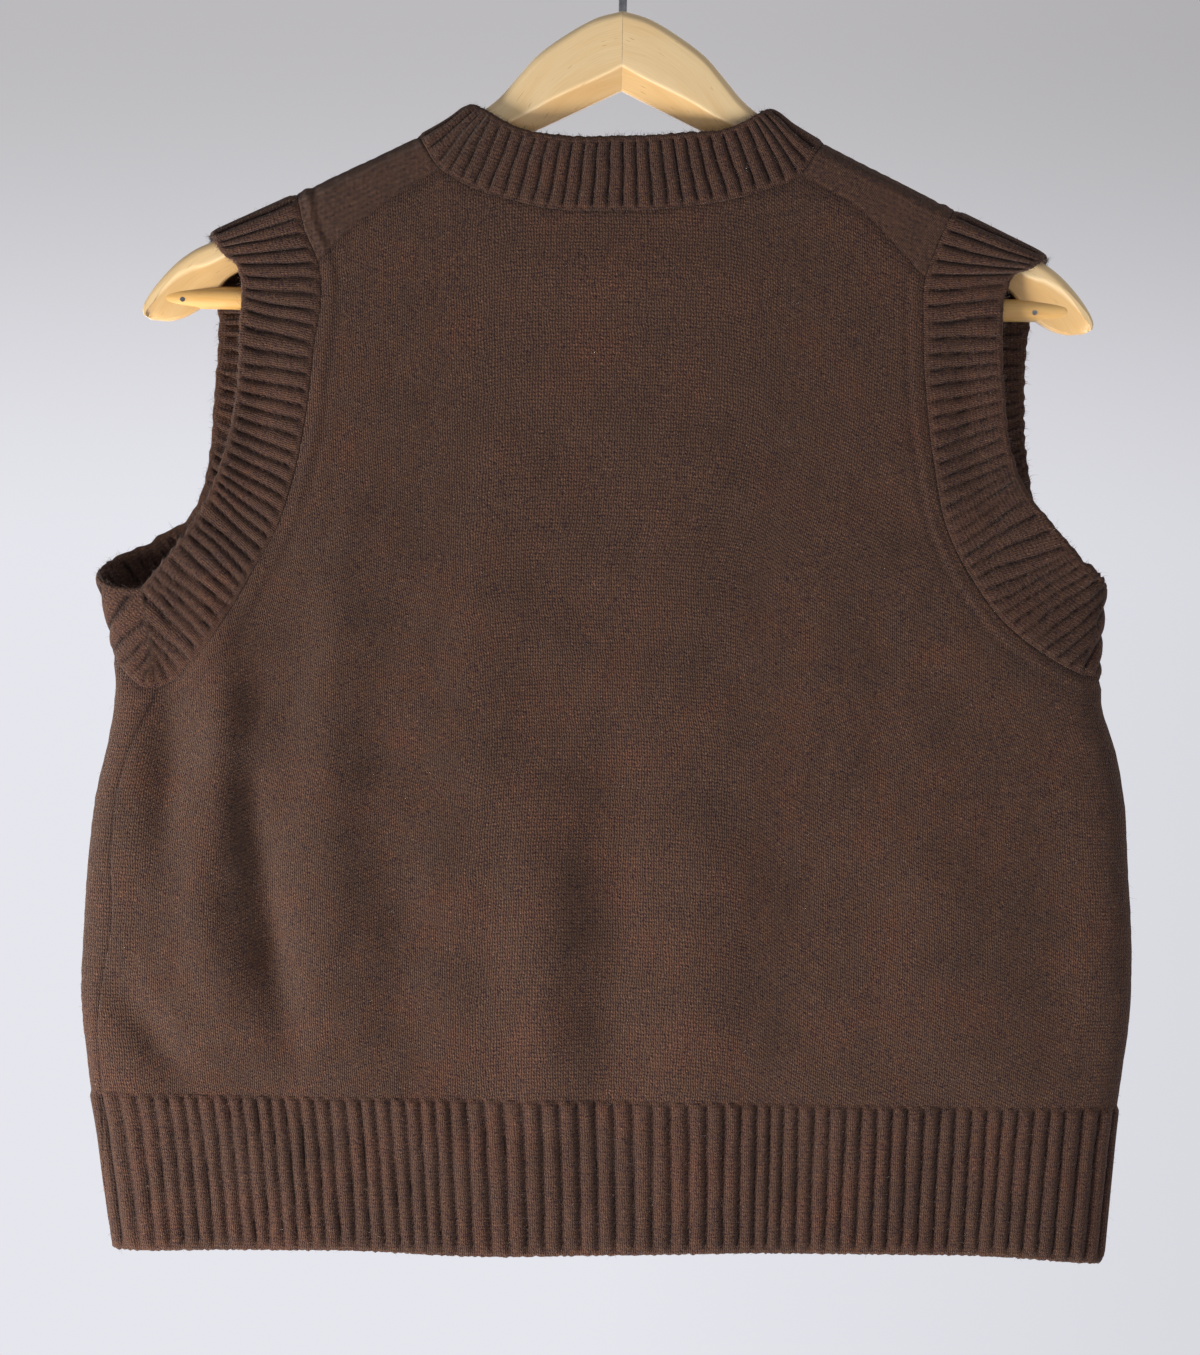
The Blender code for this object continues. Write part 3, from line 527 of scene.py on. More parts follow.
# %% Folds and unevenness
CREASE_COLUMNS = ("face", "x_0", "z_0", "x_1", "z_1", "half_width", "height")
CREASE_ROWS = (
    (-1, -183.0, -345.0, -181.0, -475.0, 10.0, 4.6),
    (-1, -209.0, -360.0, -206.0, -480.0, 10.0, -4.8),
    (-1, -200.0, -425.0, -176.0, -550.0, 13.0, 3.8),
    (-1, -173.0, -410.0, -146.0, -565.0, 9.0, -4.4),
    (-1, -238.0, -512.0, -192.0, -574.0, 9.0, -3.4),
    (-1, -150.0, -330.0, -162.0, -440.0, 22.0, -2.0),
    (-1, -128.0, -290.0, -134.0, -575.0, 16.0, 3.6),
    (-1, -100.0, -440.0, -92.0, -575.0, 15.0, -2.6),
    (-1, -62.0, -300.0, -60.0, -450.0, 17.0, 1.6),
    (-1, -34.0, -420.0, -28.0, -590.0, 18.0, 3.8),
    (-1, 2.0, -380.0, 0.0, -600.0, 16.0, -2.9),
    (-1, 48.0, -430.0, 40.0, -580.0, 22.0, 3.4),
    (-1, 84.0, -420.0, 88.0, -575.0, 18.0, -1.6),
    (-1, 122.0, -330.0, 128.0, -440.0, 12.0, -1.2),
    (-1, 150.0, -400.0, 158.0, -590.0, 24.0, 2.0),
    (-1, 206.0, -400.0, 214.0, -580.0, 16.0, -2.0),
    (-1, -158.0, -200.0, -176.0, -310.0, 9.0, -1.4),
    (-1, 160.0, -200.0, 172.0, -300.0, 9.0, -1.4),
    (-1, -70.0, -185.0, 70.0, -186.0, 16.0, 1.2),
    (1, -60.0, -380.0, -52.0, -566.0, 24.0, 3.2),
    (1, 36.0, -400.0, 44.0, -590.0, 20.0, -3.8),
    (1, 150.0, -380.0, 128.0, -560.0, 22.0, 2.8),
    (1, -160.0, -390.0, -142.0, -560.0, 20.0, -3.2),
    (1, 200.0, -385.0, 176.0, -480.0, 10.0, -3.0),
    (1, -206.0, -385.0, -180.0, -490.0, 11.0, 3.0),
)


CREASE_GAIN = 1.3


def crease_height(x, z, face):
    """The sum of the bells: height * exp(-(distance across / half width)^2), faded by a half sine along the
    line."""
    total = np.zeros(np.broadcast(x, z).shape)
    for row in CREASE_ROWS:
        crease = dict(zip(CREASE_COLUMNS, row))
        along_x, along_z = crease["x_1"] - crease["x_0"], crease["z_1"] - crease["z_0"]
        length = math.hypot(along_x, along_z)
        from_x, from_z = x - crease["x_0"], z - crease["z_0"]
        along = np.clip((from_x * along_x + from_z * along_z) / length**2, 0, 1)
        across = (from_x * along_z - from_z * along_x) / length
        bell = np.exp(-((across / crease["half_width"]) ** 2)) * np.sin(math.pi * along) ** 0.8
        total += np.where(face == crease["face"], crease["height"] * bell, 0)
    return CREASE_GAIN * total


WAVES = 7


def uneven(a, b, wavelength, seed):
    """Smooth noise, mostly from -1 to 1: sine waves of about this wavelength in seeded directions."""
    chance = np.random.default_rng(seed)
    total = np.zeros(np.broadcast(a, b).shape)
    for _ in range(WAVES):
        direction, phase = chance.uniform(0, 2 * math.pi, 2)
        pitch = wavelength * chance.uniform(0.6, 1.6)
        way = np.cos(direction) * a + np.sin(direction) * b
        total += np.sin(2 * math.pi * way / pitch + phase)
    return total / (WAVES / 2)


print(len(CREASE_ROWS), "folds")

# %% [markdown]
# The cross-section is half depth * sqrt(1 - q^16), where q is the cosine of pi times turn: nearly flat
# faces that turn round tightly at the sides, as two layers of knit do. Over the hanger the cloth turns
# through a quarter of an ellipse on each side.

# %% The cloth surface
HEIGHT_ROUNDS = 12
SWELL_HEIGHT, SWELL_LENGTH = 0.7, 60
DIMPLE_HEIGHT, DIMPLE_LENGTH = 0.35, 24
UNEVEN_BELOW_Z, UNEVEN_OVER = -190, 90


def cloth_point(turn, drape):
    """The 3-D point of a pair: x = middle - half width * q, y = the section's depth * the sine of the turn
    over the hanger, plus the folds, and z = the fold line's height less the drop."""
    angle = np.clip(drape / TURN_LENGTH, -1, 1) * math.pi / 2
    drop = TURN_HEIGHT * (1 - np.cos(angle)) + np.maximum(np.abs(drape) - TURN_LENGTH, 0)
    q = np.cos(math.pi * turn)
    x = np.zeros_like(drop)
    z = fold_z(x) - drop
    for _ in range(HEIGHT_ROUNDS):
        middle, half_width = middle_and_half_width(z)
        x = middle - half_width * q
        z = fold_z(x) - drop
    shape = -np.sin(math.pi * turn) * np.sqrt((1 + q**2) * (1 + q**4) * (1 + q**8))
    flat = np.abs(shape) * np.abs(np.sin(angle))
    face = np.sign(shape * np.sin(angle))
    waves = SWELL_HEIGHT * uneven(x, z * 0.6, SWELL_LENGTH, 3)
    waves = waves + DIMPLE_HEIGHT * uneven(x, z, DIMPLE_LENGTH, 8)
    hang = smooth_step((-z + UNEVEN_BELOW_Z) / UNEVEN_OVER)
    out = body_at(z, "half_depth") * flat + (crease_height(x, z, face) + waves * hang) * flat**2
    return np.stack([x, face * out, z], -1)


def turn_and_drape(x, z, face, around):
    """The (turn, drape) pair of a point seen square on. around is the side fold that its path goes round,
    or "over" for a path over the hanger, which uses the front's turn and a drape below 0 on the back."""
    middle, half_width = middle_and_half_width(z)
    back_turn = math.acos(float(np.clip((middle - x) / half_width, -1, 1))) / math.pi
    drop = max(float(fold_z(x)) - z, 0.0)
    angle = math.acos(max(1 - drop / TURN_HEIGHT, 0.0))
    drape = TURN_LENGTH * angle / (math.pi / 2) + max(drop - TURN_HEIGHT, 0.0)
    if around == "over":
        return (2 - back_turn, drape if face >= 0 else -drape)
    if around == "left":
        return (back_turn if face <= 0 else -back_turn, drape)
    return (back_turn if face <= 0 else 2 - back_turn, drape)


MEASURED_DRAPE = 300.0
TURNS = np.linspace(-0.5, 2.5, 3001)
ring = cloth_point(TURNS, np.full_like(TURNS, MEASURED_DRAPE))
ROUND = np.concatenate([[0], np.cumsum(np.linalg.norm(np.diff(ring, axis=0), axis=1))])
ROUND -= np.interp(0.5, TURNS, ROUND)


def round_body(turn):
    """The length round the body from the middle of the back, in mm."""
    return np.interp(turn, TURNS, ROUND)


print("round the body:", round(float(round_body(2.0) - round_body(0.0))), "mm")

# %% [markdown]
# ## Paths along the seams
#
# A path is a dense list of pairs through a table's points. spread() lays a chosen number of points along
# it, closer together where the cloth turns over the hanger or round a side fold.

# %% Paths
PATH_STEPS = 4000
OVER_WEIGHT = 1.6
SIDE_WEIGHT = 2.0
OVER_MARGIN = 2
SIDE_REACH = 0.25


def smooth_path(pairs):
    """A dense path through the pairs, with knots spaced by their distance in 3-D, and each pair's place in
    it."""
    pairs = np.array(pairs, float)
    steps = np.linalg.norm(np.diff(cloth_point(pairs[:, 0], pairs[:, 1]), axis=0), axis=1)
    knots = np.concatenate([[0], np.cumsum(np.maximum(steps, 1.0))])
    path = smooth_curve(np.linspace(0, knots[-1], PATH_STEPS + 1), knots, pairs)
    places = np.round(knots / knots[-1] * PATH_STEPS).astype(int)
    path[places] = pairs
    return path, places


def spread(path, count):
    """count + 1 pairs along a dense path, evenly by its weighted length."""
    steps = np.linalg.norm(np.diff(cloth_point(path[:, 0], path[:, 1]), axis=0), axis=1)
    middle = (path[1:] + path[:-1]) / 2
    over = np.abs(middle[:, 1]) < TURN_LENGTH + OVER_MARGIN
    side = np.abs(np.sin(math.pi * middle[:, 0])) < SIDE_REACH
    weight = 1 + OVER_WEIGHT * over + SIDE_WEIGHT * (side & ~over)
    run = np.concatenate([[0], np.cumsum(steps * weight)])
    wanted = np.linspace(0, run[-1], count + 1)
    return np.stack([np.interp(wanted, run, path[:, i]) for i in range(2)], -1)


def pairs_of(rows, around):
    return [turn_and_drape(x, z, face, around) for x, z, face in rows]


def flipped(pairs, around):
    """The same points counted from the other side of the hanger's fold, or of a side fold."""
    pairs = np.asarray(pairs, float)
    return np.stack([(2 if around != "left" else 0) - pairs[..., 0], -pairs[..., 1]], -1)


def armhole_paths(sections, around, counts):
    """An armhole's seam or edge in three parts. Its smooth path goes on over the shoulder fold at both
    ends, where (turn, drape) and (-turn, -drape) are the same point."""
    names = ("shoulder_back", "back", "front")
    whole = list(sections[names[0]]) + list(sections[names[1]][1:]) + list(sections[names[2]][1:])
    pairs = pairs_of(whole, around)
    pairs[0] = (pairs[0][0], 0.0)
    pairs[-1] = tuple(flipped(pairs[0], around))
    extended = [tuple(flipped(pairs[-2], around))] + pairs + [tuple(flipped(pairs[1], around))]
    path, places = smooth_path(extended)
    keys = np.cumsum([1] + [len(sections[name]) - 1 for name in names])
    cuts = places[keys]
    parts = {}
    for name, start, end, count in zip(names, cuts, cuts[1:], counts):
        parts[name] = spread(path[start : end + 1], count)
    parts["back"][0], parts["front"][0] = parts["shoulder_back"][-1], parts["back"][-1]
    return parts


def neck_paths(sections, counts):
    """The neck's seam or edge: across the back, then from its right end over the shoulder to the V."""
    pairs = pairs_of(list(sections["back"]) + list(sections["front"][1:]), "over")
    fold = len(sections["back"])
    pairs[fold] = (pairs[fold][0], 0.0)
    path, places = smooth_path(pairs)
    corner = places[fold - 1]
    down = spread(path[corner:], counts[1])
    down[-1] = (1.5, down[-1][1])
    return {"back": spread(path[: corner + 1], counts[0]), "front": down}


def mirrored(pairs):
    """The same path on the other side of the middle, on the front's turns."""
    return np.stack([3 - pairs[:, 0], pairs[:, 1]], -1)


def level_row(turns, z):
    """Pairs at the given turns whose points lie at height z."""
    middle, half_width = middle_and_half_width(z)
    x = middle - half_width * np.cos(math.pi * turns)
    return np.stack([turns, fold_z(x) - z + TURN_LENGTH - TURN_HEIGHT], -1)


def hem_z(turns):
    middle, half_width = middle_and_half_width(np.full_like(turns, HEM["z"].mean()))
    return smooth_curve(middle - half_width * np.cos(math.pi * turns), HEM["x"], HEM["z"])


def side_seam_path(rows, around, above_rib, count):
    path, _ = smooth_path(pairs_of(rows, around))
    z = cloth_point(path[:, 0], path[:, 1])[:, 2]
    return spread(path[z >= RIB_TOP_Z] if above_rib else path[z <= RIB_TOP_Z], count)


def lower_edge(first, last, count):
    return spread(level_row(np.linspace(first, last, PATH_STEPS), RIB_TOP_Z), count)


print("paths ready")

# %% [markdown]
# A panel is a grid of pairs between four edges: the two ruled surfaces between facing edges, less the one
# between the corners, which is a Coons patch. Near a sharp underarm such a grid folds over itself, so a
# coarse copy is smoothed by Winslow's method and its correction is spread over the fine grid.

# %% Panels
COARSE = 6
SMOOTHING_ROUNDS = 150
TURN_IN_MM = 480.0


def ruled_patch(bottom, top, start, end):
    """(1-v) bottom + v top + (1-u) start + u end, less the bilinear surface through the corners."""
    u = np.linspace(0, 1, len(bottom))[None, :, None]
    v = np.linspace(0, 1, len(start))[:, None, None]
    ruled = (1 - v) * bottom[None] + v * top[None] + (1 - u) * start[:, None] + u * end[:, None]
    corners = (1 - v) * ((1 - u) * bottom[0] + u * bottom[-1]) + v * ((1 - u) * top[0] + u * top[-1])
    return ruled - corners


def evened(grid):
    """Winslow's smoothing: each inner point moves to where the cell lines would be even, edges held."""
    to_mm = np.array([TURN_IN_MM, 1.0])
    grid = grid * to_mm
    for _ in range(SMOOTHING_ROUNDS):
        along = (grid[1:-1, 2:] - grid[1:-1, :-2]) / 2
        up = (grid[2:, 1:-1] - grid[:-2, 1:-1]) / 2
        up_squared = (up**2).sum(-1, keepdims=True)
        along_squared = (along**2).sum(-1, keepdims=True)
        shear = (along * up).sum(-1, keepdims=True)
        diagonals = grid[2:, 2:] - grid[2:, :-2] - grid[:-2, 2:] + grid[:-2, :-2]
        moved = up_squared * (grid[1:-1, 2:] + grid[1:-1, :-2])
        moved = moved + along_squared * (grid[2:, 1:-1] + grid[:-2, 1:-1]) - shear / 2 * diagonals
        grid[1:-1, 1:-1] = moved / (2 * (up_squared + along_squared))
    return grid / to_mm


def panel(bottom, top, start, end):
    """The grid of pairs between four edges, with the coarse grid's smoothing spread over the fine one."""
    fine = ruled_patch(bottom, top, start, end)
    coarse = fine[::COARSE, ::COARSE]
    change = evened(coarse) - coarse
    rows, cols = (np.arange(n) / COARSE for n in fine.shape[:2])
    change = smooth_curve(rows, np.arange(coarse.shape[0]), change)
    change = smooth_curve(cols, np.arange(coarse.shape[1]), change.swapaxes(0, 1)).swapaxes(0, 1)
    return fine + change


print("a coarse cell spans", COARSE, "fine ones each way")

# %% [markdown]
# ## From a grid to a piece of knit
#
# The wall is a closed shell: an outer and an inner skin, each lifted off the middle surface along its
# normal, joined by a rim. The lift carries the ribs. Towards a seam the wall thins, which leaves the groove
# of the linking, darkened with painted shade, and towards a free edge it rounds off.

# %% Shells
def grid_normals(points, closed):
    """The cross product of the grid's two directions, of length 1. Closed grids wrap round along each
    row."""
    if closed:
        padded = np.concatenate([points[:, -1:], points, points[:, :1]], 1)
        along = (padded[:, 2:] - padded[:, :-2]) / 2
    else:
        along = np.gradient(points, axis=1)
    up = np.gradient(points, axis=0)
    normal = np.cross(along, up)
    return normal / np.maximum(np.linalg.norm(normal, axis=-1, keepdims=True), 1e-9)


def grid_quads(rows, cols, closed):
    i = np.arange(rows - 1)[:, None]
    j = np.arange(cols if closed else cols - 1)[None, :]
    k = (j + 1) % cols
    corners = i * cols + j, i * cols + k, (i + 1) * cols + k, (i + 1) * cols + j
    return np.stack(corners, -1).reshape(-1, 4)


def rim_quads(edge_a, edge_b, closed):
    """Quads between two matching rows of vertex numbers."""
    a, b = (np.append(e, e[0]) if closed else e for e in (edge_a, edge_b))
    return np.stack([a[:-1], b[:-1], b[1:], a[1:]], -1)


def shell_arrays(middle, normal, outer, inner, grain, closed):
    """Vertices, quads and grain coordinates of a closed shell, faces outwards. outer and inner are lifts in
    mm."""
    rows, cols = middle.shape[:2]
    skins = np.concatenate([middle + normal * outer[..., None], middle - normal * inner[..., None]])
    vertices = skins.reshape(-1, 3)
    count = rows * cols
    number = np.arange(count).reshape(rows, cols)
    quads = grid_quads(rows, cols, closed)
    faces = [quads, quads[:, ::-1] + count]
    faces.append(rim_quads(number[0], number[0] + count, closed))
    faces.append(rim_quads(number[-1], number[-1] + count, closed)[:, ::-1])
    if not closed:
        faces.append(rim_quads(number[:, 0], number[:, 0] + count, False)[:, ::-1])
        faces.append(rim_quads(number[:, -1], number[:, -1] + count, False))
    return vertices, np.concatenate(faces), np.concatenate([grain.reshape(-1, 2)] * 2)


def mesh_object(name, vertices, quads, material, grain=None):
    """A mesh from whole arrays, in metres, with an optional map of the knit's grain in mm."""
    mesh = bpy.data.meshes.new(name)
    mesh.vertices.add(len(vertices))
    mesh.vertices.foreach_set("co", (vertices * MM).astype(np.float32).ravel())
    mesh.loops.add(quads.size)
    mesh.loops.foreach_set("vertex_index", quads.astype(np.int32).ravel())
    mesh.polygons.add(len(quads))
    mesh.polygons.foreach_set("loop_start", np.arange(0, quads.size, quads.shape[1], dtype=np.int32))
    if grain is not None:
        grain_map = mesh.uv_layers.new(name="grain")
        grain_map.data.foreach_set("uv", grain[quads.ravel()].astype(np.float32).ravel())
    mesh.update(calc_edges=True)
    mesh.validate()
    mesh.shade_smooth()
    mesh.materials.append(material)
    obj = bpy.data.objects.new(name, mesh)
    bpy.context.scene.collection.objects.link(obj)
    return obj


POINTS_AT_ONCE = 4000


def distances_from(edge_points, points):
    """How far each grid point lies from a line of points, and the number of the nearest one."""
    flat = points.reshape(-1, points.shape[-1])
    nearest = np.empty(len(flat), int)
    gap = np.empty(len(flat))
    for start in range(0, len(flat), POINTS_AT_ONCE):
        batch = slice(start, start + POINTS_AT_ONCE)
        away = np.linalg.norm(flat[batch, None] - edge_points[None], axis=-1)
        nearest[batch] = away.argmin(1)
        gap[batch] = away.min(1)
    return gap.reshape(points.shape[:-1]), nearest.reshape(points.shape[:-1])


print("shell builder ready")

# %% [markdown]
# ## Wool
#
# The yarn is a brown heather: olive, red-brown and purple-brown fibres spun together, so no two stitches
# have quite the same colour. The shader draws the stockinette on the piece's own grain map, in millimetres:
# columns of V-shaped stitches, softened by felting, with painted shade between the legs and a painted
# highlight on them. Sheen gives the pale bloom of wool seen edge on.
# Grooves between ribs and along seams are darkened with painted shade, because little light gets down
# between the yarns, so each vertex carries how deep it lies.

# %% Shader helpers
def new_material(name):
    material = bpy.data.materials.new(name)
    material.use_nodes = True
    return material, material.node_tree, material.node_tree.nodes["Principled BSDF"]


def node(tree, kind, inputs=(), **settings):
    """Add a node, set its properties, and link or set the named inputs."""
    made = tree.nodes.new(kind)
    for key, value in settings.items():
        setattr(made, key, value)
    for key, value in dict(inputs).items():
        if isinstance(value, bpy.types.NodeSocket):
            tree.links.new(value, made.inputs[key])
        else:
            made.inputs[key].default_value = value
    return made


def calc(tree, operation, a, b=0.0):
    return node(tree, "ShaderNodeMath", {0: a, 1: b}, operation=operation).outputs[0]


def noise(tree, vector, scale, detail=2.0, roughness=0.5):
    made = node(tree, "ShaderNodeTexNoise", {"Vector": vector, "Scale": scale})
    made.inputs["Detail"].default_value = detail
    made.inputs["Roughness"].default_value = roughness
    return made.outputs["Fac"]


def stretched(tree, vector, scale, turn=(0, 0, 0)):
    return node(tree, "ShaderNodeMapping", {"Vector": vector, "Scale": scale, "Rotation": turn}).outputs[0]


def ramp(tree, factor, stops, smooth=False):
    made = node(tree, "ShaderNodeValToRGB", {"Fac": factor})
    elements = made.color_ramp.elements
    made.color_ramp.interpolation = "EASE" if smooth else "LINEAR"
    elements[0].position, elements[1].position = stops[0][0], stops[-1][0]
    elements[0].color, elements[1].color = (*stops[0][1], 1), (*stops[-1][1], 1)
    for place, colour in stops[1:-1]:
        elements.new(place).color = (*colour, 1)
    return made.outputs["Color"]


def tinted(tree, first, second, blend, factor=1.0):
    """Two colours mixed. Each may be a socket or a colour."""
    made = node(tree, "ShaderNodeMix", (), data_type="RGBA", blend_type=blend)
    for index, value in ((0, factor), (6, first), (7, second)):
        if isinstance(value, bpy.types.NodeSocket):
            tree.links.new(value, made.inputs[index])
        else:
            made.inputs[index].default_value = value
    return made.outputs[2]


print("shader helpers ready")

# %% The wool materials
TINTS = {
    "dark": (0.38, 0.36, 0.42),
    "light": (2.1, 2.15, 2.2),
    "olive": (1.2, 1.42, 0.95),
    "red": (1.42, 1.05, 0.95),
    "plum": (0.88, 0.84, 1.35),
}
HEATHER = (
    (0.36, "dark"),
    (0.42, "plum"),
    (0.46, "brown"),
    (0.50, "olive"),
    (0.55, "brown"),
    (0.58, "red"),
    (0.61, "olive"),
    (0.67, "light"),
)
PATCHES = ((0.3, (0.9, 0.93, 0.95)), (0.5, (1.0, 1.0, 1.0)), (0.7, (1.15, 1.04, 1.0)))
# Painted shade between the stitch legs and painted highlight on them.
STITCH_SHADE_AND_HIGHLIGHT = ((0.0, (0.4, 0.38, 0.42)), (0.45, (1.0, 1.0, 1.0)), (1.0, (1.55, 1.54, 1.5)))
# Painted shade: colour factors that darken the colour down into grooves and seams.
GROOVE_SHADE = ((0.0, (1.06, 1.06, 1.05)), (0.4, (0.8, 0.79, 0.81)), (1.0, (0.17, 0.15, 0.18)))
WOOL_BROWN = (0.077, 0.0372, 0.0267)
RIB_BROWN = tuple(c * k for c, k in zip(WOOL_BROWN, (0.97, 0.95, 0.95)))


def stitches(tree, across, along, shift, width, height):
    """1 on a V's two legs and 0 between them: the legs lie a quarter of the column from its middle."""
    column = calc(tree, "ADD", calc(tree, "DIVIDE", across, width), shift)
    row = calc(tree, "ADD", calc(tree, "DIVIDE", along, height), shift)
    off = calc(tree, "ABSOLUTE", calc(tree, "SUBTRACT", calc(tree, "FRACT", column), 0.5))
    leg = calc(tree, "PINGPONG", calc(tree, "MULTIPLY", off, 4.0), 1.0)
    slant = calc(tree, "ADD", row, off)
    loop = calc(tree, "PINGPONG", calc(tree, "MULTIPLY", slant, 2.0), 1.0)
    loop = calc(tree, "ADD", calc(tree, "MULTIPLY", loop, 0.7), 0.3)
    return calc(tree, "MULTIPLY", calc(tree, "POWER", leg, 0.6), loop)


def wool(name, brown, stitch_width, stitch_height, stitch_strength):
    """Heather wool with a V stitch of this width and height in mm, rows slanting away from the column's
    middle."""
    material, tree, paint = new_material(name)
    grain = node(tree, "ShaderNodeUVMap", (), uv_map="grain").outputs["UV"]
    place = node(tree, "ShaderNodeTexCoord").outputs["Object"]
    drift = noise(tree, place, 130.0, 2.0)
    split = node(tree, "ShaderNodeSeparateXYZ", {0: grain})
    shift = calc(tree, "MULTIPLY", calc(tree, "SUBTRACT", drift, 0.5), 1.1)
    across, along = split.outputs[0], split.outputs[1]
    stitch = stitches(tree, across, along, shift, stitch_width, stitch_height)
    fuzz = noise(tree, place, 1500.0, 3.0, 0.7)
    felt = noise(tree, place, 520.0, 2.0, 0.6)
    height = calc(tree, "MULTIPLY", stitch, stitch_strength)
    height = calc(tree, "ADD", height, calc(tree, "MULTIPLY", felt, 0.9))
    height = calc(tree, "ADD", height, calc(tree, "MULTIPLY", fuzz, 0.7))
    fleck = noise(tree, stretched(tree, place, (1.0, 1.0, 1.7)), 700.0, 2.5, 0.75)
    yarns = {key: tuple(c * k for c, k in zip(brown, tint)) for key, tint in TINTS.items()}
    yarns["brown"] = brown
    colour = ramp(tree, fleck, tuple((stop, yarns[key]) for stop, key in HEATHER))
    patch = ramp(tree, noise(tree, place, 38.0, 3.0, 0.6), PATCHES)
    colour = tinted(tree, colour, patch, "MULTIPLY")
    # Painted shade between the stitch legs and painted highlight on them, mixed into the colour.
    shade = ramp(tree, stitch, STITCH_SHADE_AND_HIGHLIGHT)
    colour = tinted(tree, colour, shade, "MULTIPLY", min(1.0, stitch_strength))
    # Painted shade: the colour is darkened by each vertex's groove depth.
    deep = node(tree, "ShaderNodeAttribute", (), attribute_name="groove").outputs["Fac"]
    colour = tinted(tree, colour, ramp(tree, deep, GROOVE_SHADE), "MULTIPLY")
    tree.links.new(colour, paint.inputs["Base Color"])
    bump = node(tree, "ShaderNodeBump", {"Height": height, "Distance": 0.0011, "Strength": 0.9})
    tree.links.new(bump.outputs["Normal"], paint.inputs["Normal"])
    paint.inputs["Roughness"].default_value = 0.92
    paint.inputs["Specular IOR Level"].default_value = 0.2
    paint.inputs["Sheen Weight"].default_value = 0.22
    paint.inputs["Sheen Roughness"].default_value = 0.45
    paint.inputs["Sheen Tint"].default_value = (0.85, 0.66, 0.56, 1)
    return material


knit_wool = wool("knit_wool", WOOL_BROWN, 2.3, 1.75, 0.75)
rib_wool = wool("rib_wool", RIB_BROWN, 2.1, 1.7, 0.5)
print("wool:", knit_wool.name, rib_wool.name)

# %% [markdown]
# ## Back and front panels
#
# Both are fine stockinette. Each grid runs from the rib to the shoulder between its side seams and
# armholes. Beside the armholes the knitter's decreases leave a narrow raised line, and the front's
# shoulders pass over the hanger and are joined low on the back.

# %% Every path: the number of grid cells along each stretch
SIDE, OVER, BACK_ARM, FRONT_ARM, CENTRE = 54, 42, 72, 90, 54
SHOULDER, NECK_ACROSS, HALF_FRONT = 36, 84, 78
ARM_COUNTS = (OVER, BACK_ARM, FRONT_ARM)
NECK_COUNTS = (NECK_ACROSS, SIDE + FRONT_ARM + OVER - CENTRE)
left_arm = armhole_paths(LEFT_ARMHOLE_SEAM, "left", ARM_COUNTS)
right_arm = armhole_paths(RIGHT_ARMHOLE_SEAM, "right", ARM_COUNTS)
neck_seam = neck_paths(NECK_SEAM, NECK_COUNTS)
left_side = side_seam_path(LEFT_SIDE_SEAM, "left", True, SIDE)
right_side = side_seam_path(RIGHT_SIDE_SEAM, "right", True, SIDE)
left_shoulder = spread(smooth_path(pairs_of(LEFT_SHOULDER_SEAM, "over"))[0], SHOULDER)
right_shoulder = spread(smooth_path(pairs_of(RIGHT_SHOULDER_SEAM, "over"))[0], SHOULDER)
print("armhole seams:", [sum(len(part) for part in arm.values()) for arm in (left_arm, right_arm)], "points")

# %% Finishing a piece of knit
CLOTH, AREAS = {}, {}
SHARPEST = math.radians(65)
WELD_DISTANCE = 2e-5


def edge_fade(points, edges, reach):
    """1 on a grid, falling by each named edge's depth in a quarter circle over the last reach mm."""
    fade = np.ones(points.shape[:2])
    for edge, depth in edges.items():
        line = points.swapaxes(0, 1) if edge in ("start", "end") else points
        line = line[::-1] if edge in ("top", "end") else line
        steps = np.linalg.norm(np.diff(line, axis=0), axis=-1)
        run = np.concatenate([np.zeros((1, line.shape[1])), np.cumsum(steps, 0)])
        shape = np.sqrt(1 - (1 - np.clip(run / reach, 0, 1)) ** 2)
        shape = shape[::-1] if edge in ("top", "end") else shape
        shape = shape.swapaxes(0, 1) if edge in ("start", "end") else shape
        fade = np.minimum(fade, 1 - depth * (1 - shape))
    return fade


def surface_area(points, closed=False):
    """The area of a grid in square metres, from its cells' diagonals."""
    if closed:
        points = np.concatenate([points, points[:, :1]], 1)
    first = points[1:, 1:] - points[:-1, :-1]
    second = points[1:, :-1] - points[:-1, 1:]
    return float(np.linalg.norm(np.cross(first, second), axis=-1).sum() / 2 * MM * MM)


def join_halves(mesh):
    """Merge the points that two halves share, and delete the rims left inside the wall there."""
    shape = bmesh.new()
    shape.from_mesh(mesh)
    bmesh.ops.remove_doubles(shape, verts=shape.verts, dist=WELD_DISTANCE)
    inside = [face for face in shape.faces if sum(len(edge.link_faces) > 2 for edge in face.edges) > 1]
    bmesh.ops.delete(shape, geom=inside, context="FACES_ONLY")
    shape.to_mesh(mesh)
    shape.free()


def finish_knit(name, arrays, groove, material, area, halves_meet=False):
    """Make the piece, give its grooves their painted shade, and let it stand for the plain one of the same
    name.
    """
    vertices, quads, grain = arrays
    obj = mesh_object(name + "_cloth", vertices, quads, material, grain)
    shade = obj.data.attributes.new("groove", "FLOAT", "POINT")
    shade.data.foreach_set("value", groove.astype(np.float32))
    if halves_meet:
        join_halves(obj.data)
    obj.data.set_sharp_from_angle(angle=SHARPEST)
    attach(obj, "root")
    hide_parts(name)
    CLOTH[name], AREAS[name] = obj, area
    print(f"{name}: {len(obj.data.polygons)} faces, {area:.4f} square metres of cloth")


def grain_of(pairs):
    """The knit's grain in mm: round the body, and along the drape. Behind the shoulder fold the columns
    slant, because the cloth is folded over a sloping line."""
    turn, drape = pairs[..., 0], pairs[..., 1]
    behind = np.maximum(-drape, 0)
    side = np.sign(FRONT_MIDDLE - turn)
    return np.stack([round_body(turn) + 0.8 * side * behind, np.maximum(drape, 0) - 0.6 * behind], -1)


